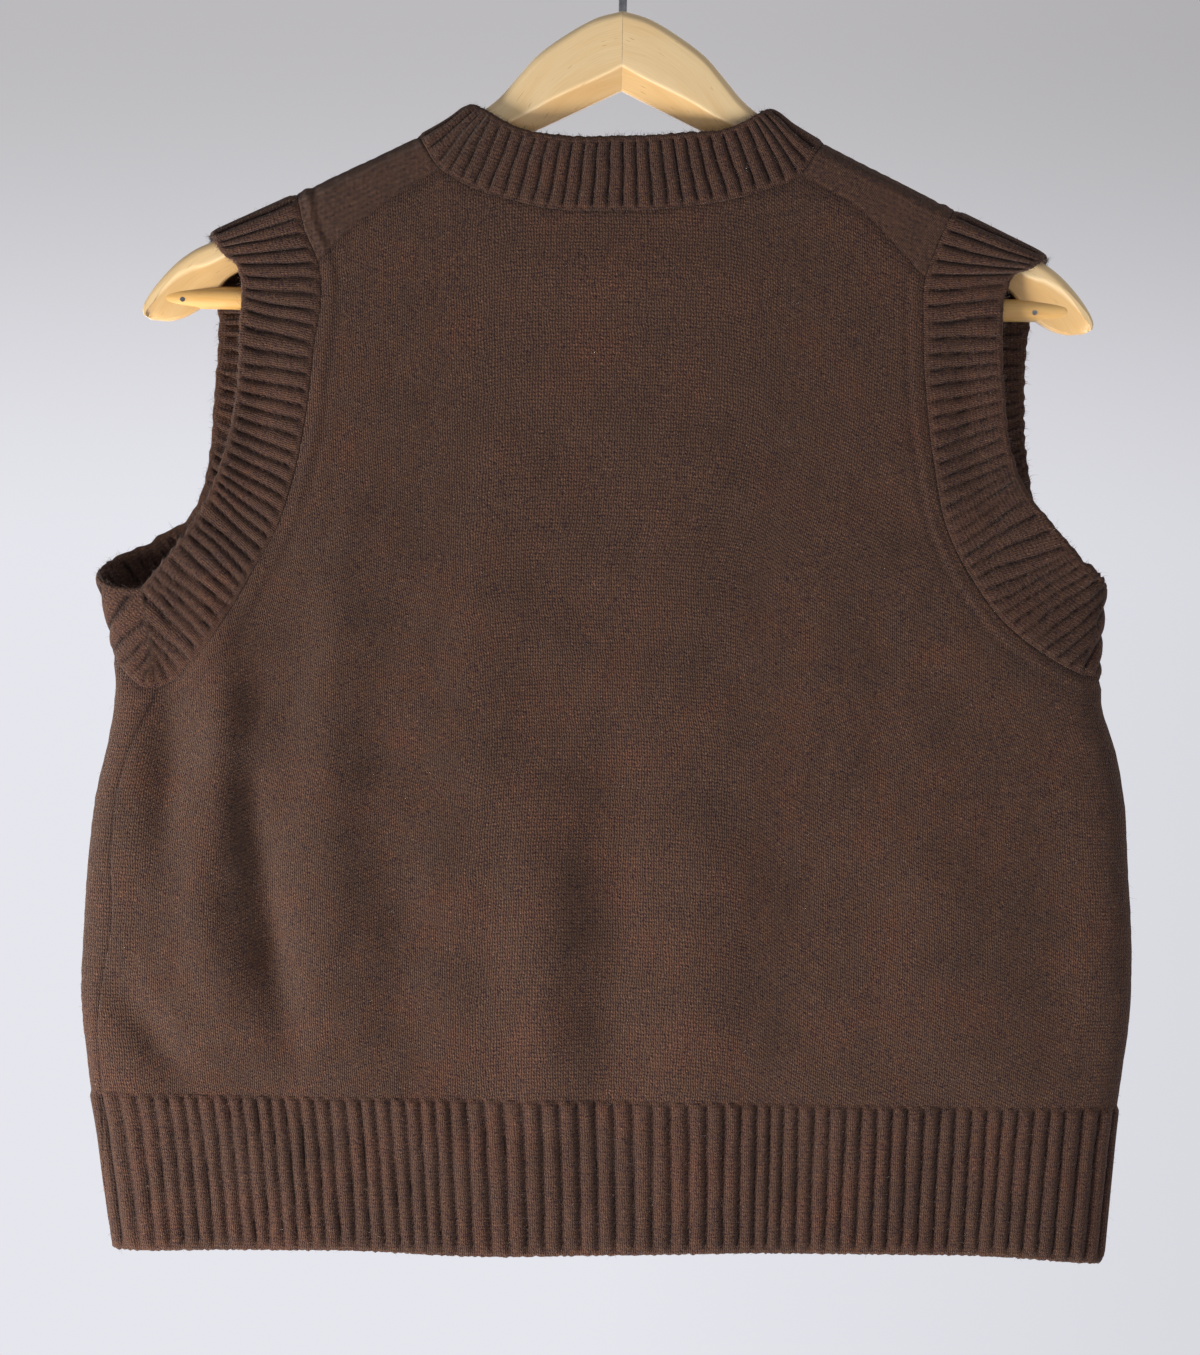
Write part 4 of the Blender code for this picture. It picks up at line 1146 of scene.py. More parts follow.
FRONT_MIDDLE = 1.5
KNIT_HALF = 1.1
PANEL_FADE = 1.5
PANEL_TOP, PANEL_SIDE = 0.4, 0.42
PANEL_SHADE = 1.3
WANDER_HEIGHT, WANDER_LENGTH, WANDER_OVER_RIB = 0.16, 7, 8
GROOVE_FROM_SEAM, GROOVE_WIDTH = 8.6, 1.5


def fashioning(gap):
    """The raised line beside an armhole: a low ridge 5 mm from the seam and a shallow groove past it."""
    ridge = 0.55 * np.exp(-(((gap - 5.0) / 1.8) ** 2))
    return ridge - 0.35 * np.exp(-(((gap - GROOVE_FROM_SEAM) / GROOVE_WIDTH) ** 2))


def yarn_wander(points, height, seed):
    """The slight unevenness of hand-finished knit, none of it right above the rib."""
    wander = WANDER_HEIGHT * uneven(points[..., 0], height, WANDER_LENGTH, seed)
    return wander * smooth_step((points[..., 2] - RIB_TOP_Z) / WANDER_OVER_RIB)


print("knit wall", 2 * KNIT_HALF, "mm")

# %% The back
back_left = np.concatenate([left_side, left_arm["back"][::-1][1:]])
back_right = np.concatenate([right_side, right_arm["back"][::-1][1:]])
back_top = np.concatenate([left_shoulder, neck_seam["back"][1:-1], right_shoulder])
back_top = flipped(back_top, "over")
back_bottom = lower_edge(back_left[0, 0], back_right[0, 0], len(back_top) - 1)
back_pairs = panel(back_bottom, back_top, back_left, back_right)
back_points = cloth_point(back_pairs[..., 0], back_pairs[..., 1])
armholes = np.concatenate([back_points[SIDE:, 0], back_points[SIDE:, -1]])
gap, _ = distances_from(armholes, back_points)
fade = edge_fade(back_points, {"top": PANEL_TOP, "start": PANEL_SIDE, "end": PANEL_SIDE}, PANEL_FADE)
outer = (KNIT_HALF + yarn_wander(back_points, back_points[..., 2], 21) + fashioning(gap)) * fade
back_normals = grid_normals(back_points, False)
arrays = shell_arrays(back_points, back_normals, outer, KNIT_HALF * fade, grain_of(back_pairs), False)
# Painted shade where the wall thins at the seams, and in the groove beside the armholes.
groove = np.concatenate([PANEL_SHADE * (1 - fade).ravel()] * 2)
groove[: outer.size] += 0.25 * np.exp(-(((gap.ravel() - GROOVE_FROM_SEAM) / GROOVE_WIDTH) ** 2))
finish_knit("back", arrays, groove, knit_wool, surface_area(back_points))

# %% The front
ONCE_ROUND = np.array([2.0, 0.0])
up_the_neck = neck_seam["front"][::-1]
low = level_row(np.array([FRONT_MIDDLE]), RIB_TOP_Z)[0]
halves = []
for side, arm in (("right", right_arm), ("left", left_arm)):
    shift = 0 * ONCE_ROUND if side == "right" else ONCE_ROUND
    seam = right_side if side == "right" else left_side
    over = flipped(arm["shoulder_back"][1:], side)
    outer_edge = np.concatenate([seam, arm["front"][1:], over]) + shift
    neck_edge = up_the_neck if side == "right" else mirrored(up_the_neck)
    inner_edge = np.concatenate([np.linspace(low, neck_edge[0], CENTRE + 1), neck_edge[1:]])
    top = spread(right_shoulder[::-1] if side == "right" else left_shoulder, HALF_FRONT)
    bottom = lower_edge(outer_edge[0, 0], FRONT_MIDDLE, HALF_FRONT)
    half = panel(bottom, top, outer_edge, inner_edge)
    halves.append(half if side == "right" else half[:, ::-1])

points = [cloth_point(half[..., 0], half[..., 1]) for half in halves]
normals = [grid_normals(half, False) for half in points]
below_neck = slice(0, CENTRE + 1)
shared = normals[0][below_neck, -1] + normals[1][below_neck, 0]
shared /= np.linalg.norm(shared, axis=-1, keepdims=True)
normals[0][below_neck, -1] = normals[1][below_neck, 0] = shared
parts, grooves, area = [], [], 0.0
for half, middle, normal, ends in zip(halves, points, normals, (("start", "end"), ("end", "start"))):
    at_side, at_middle = ends
    fade = edge_fade(middle, {"top": PANEL_TOP, at_side: PANEL_SIDE}, PANEL_FADE)
    at_neck = edge_fade(middle, {at_middle: PANEL_TOP}, PANEL_FADE)
    at_neck[below_neck] = 1
    fade = np.minimum(fade, at_neck)
    gap, _ = distances_from(middle[SIDE:, 0 if at_side == "start" else -1], middle)
    outer = (KNIT_HALF + yarn_wander(middle, middle[..., 2] + middle[..., 1], 22) + fashioning(gap)) * fade
    parts.append(shell_arrays(middle, normal, outer, KNIT_HALF * fade, grain_of(half), False))
    # Painted shade where the wall thins at the seams.
    grooves.append(np.concatenate([PANEL_SHADE * (1 - fade).ravel()] * 2))
    area += surface_area(middle)
arrays = (
    np.concatenate([parts[0][0], parts[1][0]]),
    np.concatenate([parts[0][1], parts[1][1] + len(parts[0][0])]),
    np.concatenate([parts[0][2], parts[1][2]]),
)
finish_knit("front", arrays, np.concatenate(grooves), knit_wool, area, halves_meet=True)

# %% [markdown]
# ## Ribbed bands
#
# A rib is a rounded ridge of knit columns between narrow grooves where purl columns sink in. On the inside
# the same grooves are ridges, so the wall stays one yarn thick. The ridge's height is 1 - |2f|^power, where
# f is the distance from its middle as a share of the pitch. The ribs stand square to the seam, so a band's
# ribs fan round a curve and meet in a chevron at a sharp underarm.

# %% Rib relief
RIB_HALF = 1.35
GROOVE_FALL = 1.35


def rib_height(phase, power):
    """1 on a ridge's rounded top and 0 in the groove."""
    f = phase - np.round(phase)
    return 1 - np.abs(2 * f) ** power


def rib_skins(phase, height, keep, fade, power, shade):
    """Outer and inner lifts: half the wall plus ribs that fade out by keep, thinned by fade, and the
    groove's painted shade."""
    outside = RIB_HALF + height * (rib_height(phase, power) - 0.5) * keep
    inside = RIB_HALF + height * (rib_height(phase + 0.5, power) - 0.5) * keep
    return outside * fade, inside * fade, shade * (1 - rib_height(phase, power)) ** GROOVE_FALL * keep


def shares_across(edge, inner_count):
    """Shares from 0 to 1 across a band, closer together within the given share of each edge."""
    first, last = np.linspace(0, edge, 4)[:-1], np.linspace(1 - edge, 1, 4)[1:]
    return np.concatenate([first, np.linspace(edge, 1 - edge, inner_count), last])


print("rib wall", 2 * RIB_HALF, "mm")

# %% The hem bands
HEM_PITCH, HEM_RELIEF, HEM_POWER, HEM_SHADE = 8.4, 2.0, 2.3, 1.0
HEM_GRID_COLUMNS, HEM_GRID_INNER_ROWS = 620, 25
PLAIN_EDGE, RIB_RISE = 1.4, 2.6
BAND_FADE, SEAM_DEPTH, FREE_DEPTH = 1.7, 0.35, 0.7


def hem_band(name, start, end):
    """A level rib from the panel's edge down to the garment's, between two side seams."""
    rows = []
    for share in shares_across(0.04, HEM_GRID_INNER_ROWS)[::-1]:
        first, last = (np.interp(share, np.linspace(0, 1, len(seam)), seam[:, 0]) for seam in (start, end))
        turns = lower_edge(first, last, HEM_GRID_COLUMNS)[:, 0]
        ripple = 1 + 0.005 * uneven(round_body(turns), 0 * turns, 4.2, 34)
        rows.append(level_row(turns, RIB_TOP_Z + (hem_z(turns) - RIB_TOP_Z) * share * ripple))
    pairs = np.array(rows)
    middle = cloth_point(pairs[..., 0], pairs[..., 1])
    along = round_body(pairs[..., 0])
    lean = 0.05 * uneven(along, middle[..., 2] * 0.35, 45, 31)
    lean = lean + 0.03 * uneven(along, middle[..., 2], 14, 32)
    phase = along / HEM_PITCH + lean
    below = RIB_TOP_Z - middle[..., 2]
    above_edge = middle[..., 2] - middle[0, :, 2]
    keep = smooth_step((below + 0.3 - 0.3 * uneven(along, along * 0, 12, 33)) / 3.0)
    keep *= smooth_step((above_edge - PLAIN_EDGE) / RIB_RISE)
    fade = edge_fade(middle, {"start": SEAM_DEPTH, "end": SEAM_DEPTH, "bottom": FREE_DEPTH}, BAND_FADE)
    outer, inner, groove = rib_skins(phase, HEM_RELIEF, keep, fade, HEM_POWER, HEM_SHADE)
    outer -= (RIB_HALF - KNIT_HALF) * np.exp(-((below / PANEL_FADE) ** 2))
    grain = np.stack([along, middle[..., 2]], -1)
    arrays = shell_arrays(middle, grid_normals(middle, False), outer, inner, grain, False)
    finish_knit(name, arrays, np.concatenate([groove.ravel()] * 2), rib_wool, surface_area(middle))


left_low = side_seam_path(LEFT_SIDE_SEAM, "left", False, 8)[::-1]
right_low = side_seam_path(RIGHT_SIDE_SEAM, "right", False, 8)[::-1]
hem_band("back_hem", left_low, right_low)
hem_band("front_hem", right_low, left_low + ONCE_ROUND)

# %% The armhole and neck bands
BAND_RELIEF, BAND_POWER, BAND_SHADE = 1.6, 2.7, 1.2
BAND_SHARES = shares_across(0.06, 20)
BAND_COUNTS = (90, 200, 230)
NECK_BAND_COUNTS = (220, 330)
FINER = 8
PAST_THE_FOLD = 60
SHOULDER_Z = -192
UNDERARM_Z, UNDERARM_OVER = -295, 65
RIB_FROM_SEAM, BAND_RISE = 0.8, 2.4
ROLL_HEIGHT, ROLL_FROM_EDGE, ROLL_WIDTH = 0.35, 1.6, 1.1
SEAM_LINE_WIDTH = 0.9
FREE_EDGES = []


def unrolled(pairs):
    """The pairs laid flat: length round the body, and height with the part behind the shoulder fold turned
    up."""
    turn, drape = pairs[..., 0], pairs[..., 1]
    angle = np.clip(drape / TURN_LENGTH, -1, 1) * math.pi / 2
    drop = TURN_HEIGHT * (1 - np.cos(angle)) + np.maximum(np.abs(drape) - TURN_LENGTH, 0)
    point = cloth_point(turn, drape)
    return np.stack([round_body(turn), point[..., 2] + drop - np.sign(drape) * drop], -1)


def seam_line(seam, middle, around):
    """The line that a band's ribs stand on, and how many of its points lie before the loop's first. An
    armhole's line is unrolled and goes on past the shoulder fold at both ends."""
    if around == "over":
        return np.concatenate([middle[0], middle[0][:1]]), 0
    before = flipped(seam[-PAST_THE_FOLD:], around)
    after = flipped(seam[1 : PAST_THE_FOLD + 1], around)
    closing = flipped(seam[:1], around)
    return unrolled(np.concatenate([before, seam, closing, after])), PAST_THE_FOLD


def band(name, seam, edge, pitch, around, seam_shade, fan_over, tilt=0.0):
    """A closed loop of rib between a seam and a free edge, both as loops of pairs. The ribs stand square to
    the seam, and towards the shoulder fold they follow the grid's columns. tilt leans them towards the
    underarm."""
    number = np.arange(len(seam))
    ripple = 1 + 0.011 * uneven(number, 0 * number, 5.5, 44)
    pairs = seam[None] + (edge - seam)[None] * (BAND_SHARES[:, None, None] * ripple[:, None])
    middle = cloth_point(pairs[..., 0], pairs[..., 1])
    line, lead = seam_line(seam, middle, around)
    places = np.arange(len(line))
    fine = np.linspace(0, len(line) - 1, FINER * len(line))
    line = np.stack([np.interp(fine, places, line[:, i]) for i in range(line.shape[1])], -1)
    gap, nearest = distances_from(line, middle if around == "over" else unrolled(pairs))
    run = np.concatenate([[0], np.cumsum(np.linalg.norm(np.diff(line, axis=0), axis=1))])
    run_at_places = run[np.searchsorted(fine, places)]
    loop_start, loop_end = np.interp([lead, lead + len(seam)], places, run_at_places)
    length = loop_end - loop_start
    ribs = round(length / pitch)
    by_column = np.interp(lead + np.arange(len(seam)), places, run_at_places)
    fan = smooth_step((middle[0, :, 2] - SHOULDER_Z + fan_over) / fan_over)
    along = run[nearest] * (1 - fan) + by_column * fan - loop_start
    if around != "over":
        underarm = run[FINER * (lead + BAND_COUNTS[0] + BAND_COUNTS[1])] - loop_start
        low = smooth_step((-line[nearest, 1] + UNDERARM_Z) / UNDERARM_OVER)
        along -= tilt * low * gap * np.sign(underarm - along)
    along *= ribs / length
    lean = 0.05 * uneven(middle[..., 2], middle[..., 0], 30, 41)
    lean = lean + 0.03 * uneven(middle[..., 0], middle[..., 2], 11, 42)
    outwards = middle[-1] - middle[-5]
    FREE_EDGES.append((middle[-1], outwards / np.linalg.norm(outwards, axis=-1)[:, None]))
    from_edge = np.linalg.norm(middle - middle[-1][None], axis=-1)
    keep = smooth_step((gap - RIB_FROM_SEAM) / BAND_RISE)
    keep = keep * smooth_step((from_edge - PLAIN_EDGE) / BAND_RISE)
    fade = edge_fade(middle, {"bottom": 0.3, "top": FREE_DEPTH}, BAND_FADE)
    outer, inner, groove = rib_skins(along + lean, BAND_RELIEF, keep, fade, BAND_POWER, BAND_SHADE)
    outer += ROLL_HEIGHT * np.exp(-(((from_edge - ROLL_FROM_EDGE) / ROLL_WIDTH) ** 2))
    # A dotted line of painted shade along the seam, where the band's wall thins and sinks in.
    dotted = seam_shade * (0.8 + 0.35 * uneven(along * pitch, along * 0, 5, 43))
    groove = np.maximum(groove, dotted * np.exp(-((gap / SEAM_LINE_WIDTH) ** 2)))
    grids = [middle, outer, inner, np.stack([along * pitch, gap], -1), groove]
    if around == "left":
        grids = [grid[:, ::-1] for grid in grids]
    middle, outer, inner, grain, groove = grids
    arrays = shell_arrays(middle, grid_normals(middle, True), outer, inner, grain, True)
    print(f"{name}: {ribs} ribs over {length:.0f} mm")
    finish_knit(name, arrays, np.concatenate([groove.ravel()] * 2), rib_wool, surface_area(middle, True))


def armhole_loop(paths):
    return np.concatenate([paths["shoulder_back"][:-1], paths["back"][:-1], paths["front"][:-1]])


def neck_loop(paths):
    return np.concatenate([paths["back"][:-1], paths["front"][:-1], mirrored(paths["front"])[::-1][:-1]])


ARMBAND = {"pitch": 7.6, "seam_shade": 0.25, "fan_over": 30}
NECKBAND = {"pitch": 7.1, "seam_shade": 0.85, "fan_over": 130}
for name, seam_rows, edge_rows, around, tilt in (
    ("armband_left", LEFT_ARMHOLE_SEAM, LEFT_ARMHOLE_EDGE, "left", 0.1),
    ("armband_right", RIGHT_ARMHOLE_SEAM, RIGHT_ARMHOLE_EDGE, "right", 0.5),
):
    loops = [armhole_loop(armhole_paths(rows, around, BAND_COUNTS)) for rows in (seam_rows, edge_rows)]
    band(name, *loops, around=around, tilt=tilt, **ARMBAND)
loops = [neck_loop(neck_paths(rows, NECK_BAND_COUNTS)) for rows in (NECK_SEAM, NECK_EDGE)]
band("neckband", *loops, around="over", **NECKBAND)

# %% [markdown]
# ## The hanger
#
# Two curved beech arms meet at a joint line under the hook. An arm is a section carried along a row of
# stations: a rounded top, flat faces and an underside planed in to a keel. The table gives the stations,
# and a smooth curve through them gives the fine ones.

# %% Wood materials
# Painted light on the arms: a painted highlight along the edge above the underside's slope, and painted shade
# on the slope.
EDGE_HIGHLIGHT_SLOPE_SHADE_COLOURS = ((0.0, (1.0, 1.0, 1.0)), (0.5, (1.24, 1.27, 1.34)), (1.0, (0.88, 0.76, 0.6)))


def beech_wood(name, light, dark, fleck_colour, fleck_share, roughness):
    """Varnished beech: broad soft rings along the grain and short dark flecks, and where a piece marks them a
    painted highlight along an edge and painted shade on an underside.
    """
    material, tree, paint = new_material(name)
    grain = node(tree, "ShaderNodeUVMap", (), uv_map="grain").outputs["UV"]
    rings = noise(tree, stretched(tree, grain, (0.02, 0.13, 1.0)), 1.0, 3.0, 0.5)
    fine = noise(tree, stretched(tree, grain, (0.05, 1.9, 1.0)), 1.0, 3.0, 0.6)
    colour = ramp(tree, rings, ((0.3, dark), (0.62, light)), smooth=True)
    streak = ramp(tree, fine, ((0.3, (0.95, 0.93, 0.9)), (0.6, (1.03, 1.03, 1.03))))
    colour = tinted(tree, colour, streak, "MULTIPLY")
    spots = noise(tree, stretched(tree, grain, (0.12, 0.9, 1.0)), 1.0, 1.0, 0.4)
    mask = ramp(tree, spots, ((fleck_share, (0, 0, 0)), (fleck_share + 0.04, (1, 1, 1))))
    colour = tinted(tree, colour, (*fleck_colour, 1), "MIX", calc(tree, "MULTIPLY", mask, 0.55))
    edge_highlight_slope_shade = node(tree, "ShaderNodeAttribute", (), attribute_name="edge_highlight_slope_shade").outputs["Fac"]
    colour = tinted(tree, colour, ramp(tree, edge_highlight_slope_shade, EDGE_HIGHLIGHT_SLOPE_SHADE_COLOURS), "MULTIPLY")
    tree.links.new(colour, paint.inputs["Base Color"])
    bump = node(tree, "ShaderNodeBump", {"Height": fine, "Distance": 0.0002, "Strength": 0.25})
    tree.links.new(bump.outputs["Normal"], paint.inputs["Normal"])
    paint.inputs["Roughness"].default_value = roughness
    paint.inputs["Coat Weight"].default_value = 0.5
    paint.inputs["Coat Roughness"].default_value = 0.14
    return material


arm_wood = beech_wood("arm_wood", (0.88, 0.65, 0.355), (0.84, 0.585, 0.29), (0.5, 0.25, 0.09), 0.715, 0.34)
bar_varnish = beech_wood("bar_varnish", (0.79, 0.48, 0.17), (0.70, 0.38, 0.11), (0.42, 0.2, 0.06), 0.74, 0.27)
print("woods:", arm_wood.name, bar_varnish.name)

# %% Closing a tube and carrying a circle along a path
def closed_ends(obj, sharpest=24):
    """Fill the two end holes, turn all faces outwards and keep edges sharper than this many degrees."""
    shape = bmesh.new()
    shape.from_mesh(obj.data)
    bmesh.ops.holes_fill(shape, edges=[e for e in shape.edges if e.is_boundary], sides=0)
    bmesh.ops.recalc_face_normals(shape, faces=shape.faces)
    shape.to_mesh(obj.data)
    shape.free()
    obj.data.set_sharp_from_angle(angle=math.radians(sharpest))
    return obj


def tube(name, path, radii, sides, material):
    """Circles square to a path that lies in the XZ plane: centre + r (cos a * Y + sin a * (tangent x
    Y))."""
    tangent = np.gradient(path, axis=0)
    tangent /= np.linalg.norm(tangent, axis=-1, keepdims=True)
    normal = np.cross(tangent, np.array([0.0, 1.0, 0.0]))
    angle = np.linspace(0, 2 * math.pi, sides, endpoint=False)[None, :, None]
    circle = np.cos(angle) * np.array([0.0, 1.0, 0.0]) + np.sin(angle) * normal[:, None]
    points = path[:, None] + radii[:, None, None] * circle
    run = np.concatenate([[0], np.cumsum(np.linalg.norm(np.diff(path, axis=0), axis=1))])
    round_it = np.broadcast_to(angle[..., 0] * radii.max(), points.shape[:2])
    grain = np.stack([np.broadcast_to(run[:, None], points.shape[:2]), round_it], -1).reshape(-1, 2)
    quads = grid_quads(len(path), sides, True)
    return closed_ends(mesh_object(name, points.reshape(-1, 3), quads, material, grain))


print("tube builder ready")

# %% The two arms
ARM_COLUMNS = ("top_x", "top_z", "low_x", "low_z", "slope_height")
ARM_ROWS = (
    (0.2, -62.2, 0.2, -99.6, 11.6),
    (13.0, -66.0, 11.0, -105.0, 11.0),
    (26.5, -73.8, 22.0, -110.4, 11.0),
    (39.0, -83.0, 31.0, -114.8, 10.5),
    (48.0, -93.0, 38.0, -118.2, 9.5),
    (56.5, -103.0, 46.0, -122.0, 9.0),
    (64.0, -109.3, 54.0, -126.0, 9.0),
    (72.0, -113.5, 63.0, -130.4, 9.0),
    (90.0, -124.3, 81.0, -139.2, 9.0),
    (105.0, -132.0, 96.0, -146.5, 9.0),
    (130.0, -144.2, 121.0, -158.8, 9.0),
    (154.0, -156.0, 145.0, -170.5, 9.0),
    (180.0, -168.3, 170.0, -182.8, 9.0),
    (192.0, -174.0, 183.0, -190.0, 9.5),
    (200.0, -178.0, 189.0, -197.0, 12.0),
    (208.0, -184.0, 196.0, -204.5, 14.0),
    (215.5, -192.0, 204.0, -209.3, 13.0),
    (221.0, -199.7, 211.0, -211.2, 8.5),
    (223.3, -205.5, 216.5, -211.0, 4.5),
    (222.8, -209.0, 219.5, -210.8, 1.5),
)
ARM_HALF_THICKNESS = 6.5
ARM_TOP_ROUND = 4.5
ARM_KEEL_HALF = 2.5
EDGE_ROUND = 0.7
KEEL_ROUND = 0.8
TOP_ROUND_MOST = 0.3
ARC_POINTS = 13
FACE_SHARES = (0.25, 0.5, 0.75, 1.0)
SLOPE_SHARES = (0.15, 0.4, 0.7, 0.93)


def arm_section(height, slope):
    """(y, depth) of half a section, from the top's middle to the keel: an arc, a face, a soft edge and the
    slope."""
    turn = np.linspace(0, math.pi / 2, ARC_POINTS)
    one = np.ones((len(height), 1))
    height, slope = height[:, None], slope[:, None]
    rounding = np.minimum(ARM_TOP_ROUND, TOP_ROUND_MOST * height)
    half = ARM_HALF_THICKNESS
    start = height - slope
    y = [0 * one, (half - rounding) * 0.6, half - rounding * (1 - np.sin(turn))]
    depth = [0 * one, 0 * one, rounding * (1 - np.cos(turn))]
    for share in FACE_SHARES:
        y.append(half * one)
        depth.append(rounding + (start - EDGE_ROUND - rounding) * share)
    y.append((half - 0.12) * one)
    depth.append(start + 0.05 * slope)
    for share in SLOPE_SHARES:
        y.append((half - (half - ARM_KEEL_HALF) * share) * one)
        depth.append(start + slope * share)
    y.append((ARM_KEEL_HALF - KEEL_ROUND) * one)
    depth.append(height)
    return np.concatenate(y, 1), np.concatenate(depth, 1)


EDGE_HIGHLIGHT_SLOPE_SHADE_BY_CORNER = [0.0] * 18 + [0.0, 0.5] + [1.0] * 5
JOINT_X = 0.06
TIP_FROM_X, TIP_OVER = 192, 22
SLOPE_WIDENED, SLOPE_MOST, SLOPE_MOST_AT_TIP = 0.5, 0.6, 0.22
ARM_SHARPEST = 13


def hanger_arm(name, side):
    """One arm from its stations. The underside's slope widens at the tip, and each section's corners carry a
    painted highlight along the slope's upper edge and painted shade on the slope."""
    stations = columns(ARM_COLUMNS, ARM_ROWS)
    number = np.arange(len(ARM_ROWS))
    fine = np.linspace(0, len(ARM_ROWS) - 1, FINER * len(ARM_ROWS))
    at = {key: smooth_curve(fine, number, values) for key, values in stations.items()}
    top = np.stack([at["top_x"], at["top_z"]], -1)
    low = np.stack([at["low_x"], at["low_z"]], -1)
    top[0, 0] = low[0, 0] = JOINT_X
    height = np.linalg.norm(low - top, axis=-1)
    tip = smooth_step((at["top_x"] - TIP_FROM_X) / TIP_OVER)
    slope = at["slope_height"] * (1 + SLOPE_WIDENED * tip)
    y, depth = arm_section(height, np.minimum(slope, (SLOPE_MOST + SLOPE_MOST_AT_TIP * tip) * height))
    y, depth = np.concatenate([y, -y[:, :0:-1]], 1), np.concatenate([depth, depth[:, :0:-1]], 1)
    down = (low - top) / height[:, None]
    place = top[:, None] + down[:, None] * depth[..., None]
    points = np.stack([side * place[..., 0], y, place[..., 1]], -1)
    run = np.cumsum(np.linalg.norm(np.gradient((top + low) / 2, axis=0), axis=1))
    along = np.broadcast_to(side * run[:, None], y.shape)
    grain = np.stack([along, depth + 0.7 * y + 40 * side], -1).reshape(-1, 2)
    quads = grid_quads(len(fine), y.shape[1], True)
    arm = mesh_object(name, points.reshape(-1, 3), quads, arm_wood, grain)
    # Painted highlight on the slope's upper edge and painted shade on the slope, by corner of the section.
    edge_highlight_slope_shade = arm.data.attributes.new("edge_highlight_slope_shade", "FLOAT", "POINT")
    edge_highlight_slope_shade.data.foreach_set("value", np.tile(EDGE_HIGHLIGHT_SLOPE_SHADE_BY_CORNER + EDGE_HIGHLIGHT_SLOPE_SHADE_BY_CORNER[:0:-1], len(fine)).astype(np.float32))
    closed_ends(arm, ARM_SHARPEST)
    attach(arm, "root")
    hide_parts(name)
    print(name, len(arm.data.polygons), "faces")


for name, side in (("hanger_arm_left", -1), ("hanger_arm_right", 1)):
    hanger_arm(name, side)

# %% [markdown]
# The trouser bar is a turned rod with warmer varnish, let into the tips and held by a small steel pin at
# each end. The hook is plated wire: a stem, a bend and three quarters of a circle.

# %% Bar, pins and hook
END_LENGTH, END_DROP = 2.2, 1.6
low_corner, high_corner = (np.array(corner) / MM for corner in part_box("trouser_bar"))
bar_axis = (low_corner + high_corner) / 2
bar_radius = (high_corner[2] - low_corner[2]) / 2
into_end = np.array([0.0, 0.1, 0.4, 0.9, 1.5, END_LENGTH])
ends = np.concatenate([low_corner[0] + into_end, high_corner[0] - into_end[::-1]])
end_radii = bar_radius - END_DROP * (1 - np.sqrt(np.clip(1 - (1 - into_end / END_LENGTH) ** 2, 0, 1)))
bar_path = np.stack([ends, np.full_like(ends, bar_axis[1]), np.full_like(ends, bar_axis[2])], -1)
bar = tube("turned_bar", bar_path, np.concatenate([end_radii, end_radii[::-1]]), 48, bar_varnish)
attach(bar, "root")
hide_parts("trouser_bar")

steel, tree, paint = new_material("plated_steel")
place = node(tree, "ShaderNodeTexCoord").outputs["Object"]
wear = noise(tree, place, 260.0, 3.0)
plate_colour = ramp(tree, wear, ((0.3, (0.28, 0.28, 0.29)), (0.7, (0.45, 0.45, 0.46))))
plate_roughness = ramp(tree, wear, ((0.3, (0.22, 0.22, 0.22)), (0.7, (0.36, 0.36, 0.36))))
tree.links.new(plate_colour, paint.inputs["Base Color"])
tree.links.new(plate_roughness, paint.inputs["Roughness"])
paint.inputs["Metallic"].default_value = 1.0
for pin in ("bar_pin_left", "bar_pin_right"):
    frame["nodes"][pin].data.materials.clear()
    frame["nodes"][pin].data.materials.append(steel)

WIRE_RADIUS, HOOK_INNER_RADIUS = 2.0, 21.0
STEM_LOW_Z, STEM_HIGH_Z, BEND_Z = -84, -59, -56.0
BEND_PULL = 17.6
join, tip = math.radians(-62), math.radians(206)
radius = HOOK_INNER_RADIUS + WIRE_RADIUS
end = np.array([radius * math.cos(join), -HOOK_INNER_RADIUS + radius * math.sin(join)])
leave = np.array([-math.sin(join), math.cos(join)])
t = np.linspace(0, 1, 26)[:, None]
bend = (2 * t**3 - 3 * t**2 + 1) * np.array([0.0, BEND_Z]) + (3 * t**2 - 2 * t**3) * end
bend += BEND_PULL * ((t**3 - 2 * t**2 + t) * np.array([0.0, 1.0]) + (t**3 - t**2) * leave)
angles = np.linspace(join, tip, 90)[1:]
arc = np.stack([radius * np.cos(angles), -HOOK_INNER_RADIUS + radius * np.sin(angles)], -1)
stem = np.stack([np.zeros(4), np.linspace(STEM_LOW_Z, STEM_HIGH_Z, 4)], -1)
line = np.concatenate([stem, bend, arc])
hook_path = np.stack([line[:, 0], np.zeros(len(line)), line[:, 1]], -1)
hook_radii = np.full(len(line), WIRE_RADIUS)
hook_radii[-3:] = 0.97 * WIRE_RADIUS, 0.85 * WIRE_RADIUS, 0.6 * WIRE_RADIUS
hook = tube("plated_hook", hook_path, hook_radii, 24, steel)
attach(hook, "root")
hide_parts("hook")
print("bar", round(2 * bar_radius, 2), "mm thick; hook wire", 2 * WIRE_RADIUS, "mm")

# %% [markdown]
# ## Stray fibres
#
# Wool is never a clean edge: fine fibres stand off it everywhere and show against the light at the outline.
# Each one is a bent three-sided thread, about a tenth of a millimetre thick, that starts on the skin of a
# piece and tapers away. A few thicker ones stand on the bands' free edges.

# %% Fibres
FIBRE_RADIUS, EDGE_FIBRE_RADIUS = 0.05, 0.08
SHORTEST, EDGE_SHORTEST, EDGE_LONGEST = 0.5, 0.7, 3.4
EDGE_FIBRES = 1500
RINGS = ((-0.15, 1.0), (0.5, 0.85), (1.0, 0.25))
CORNER_ANGLES = (0.0, 2.1, 4.2)


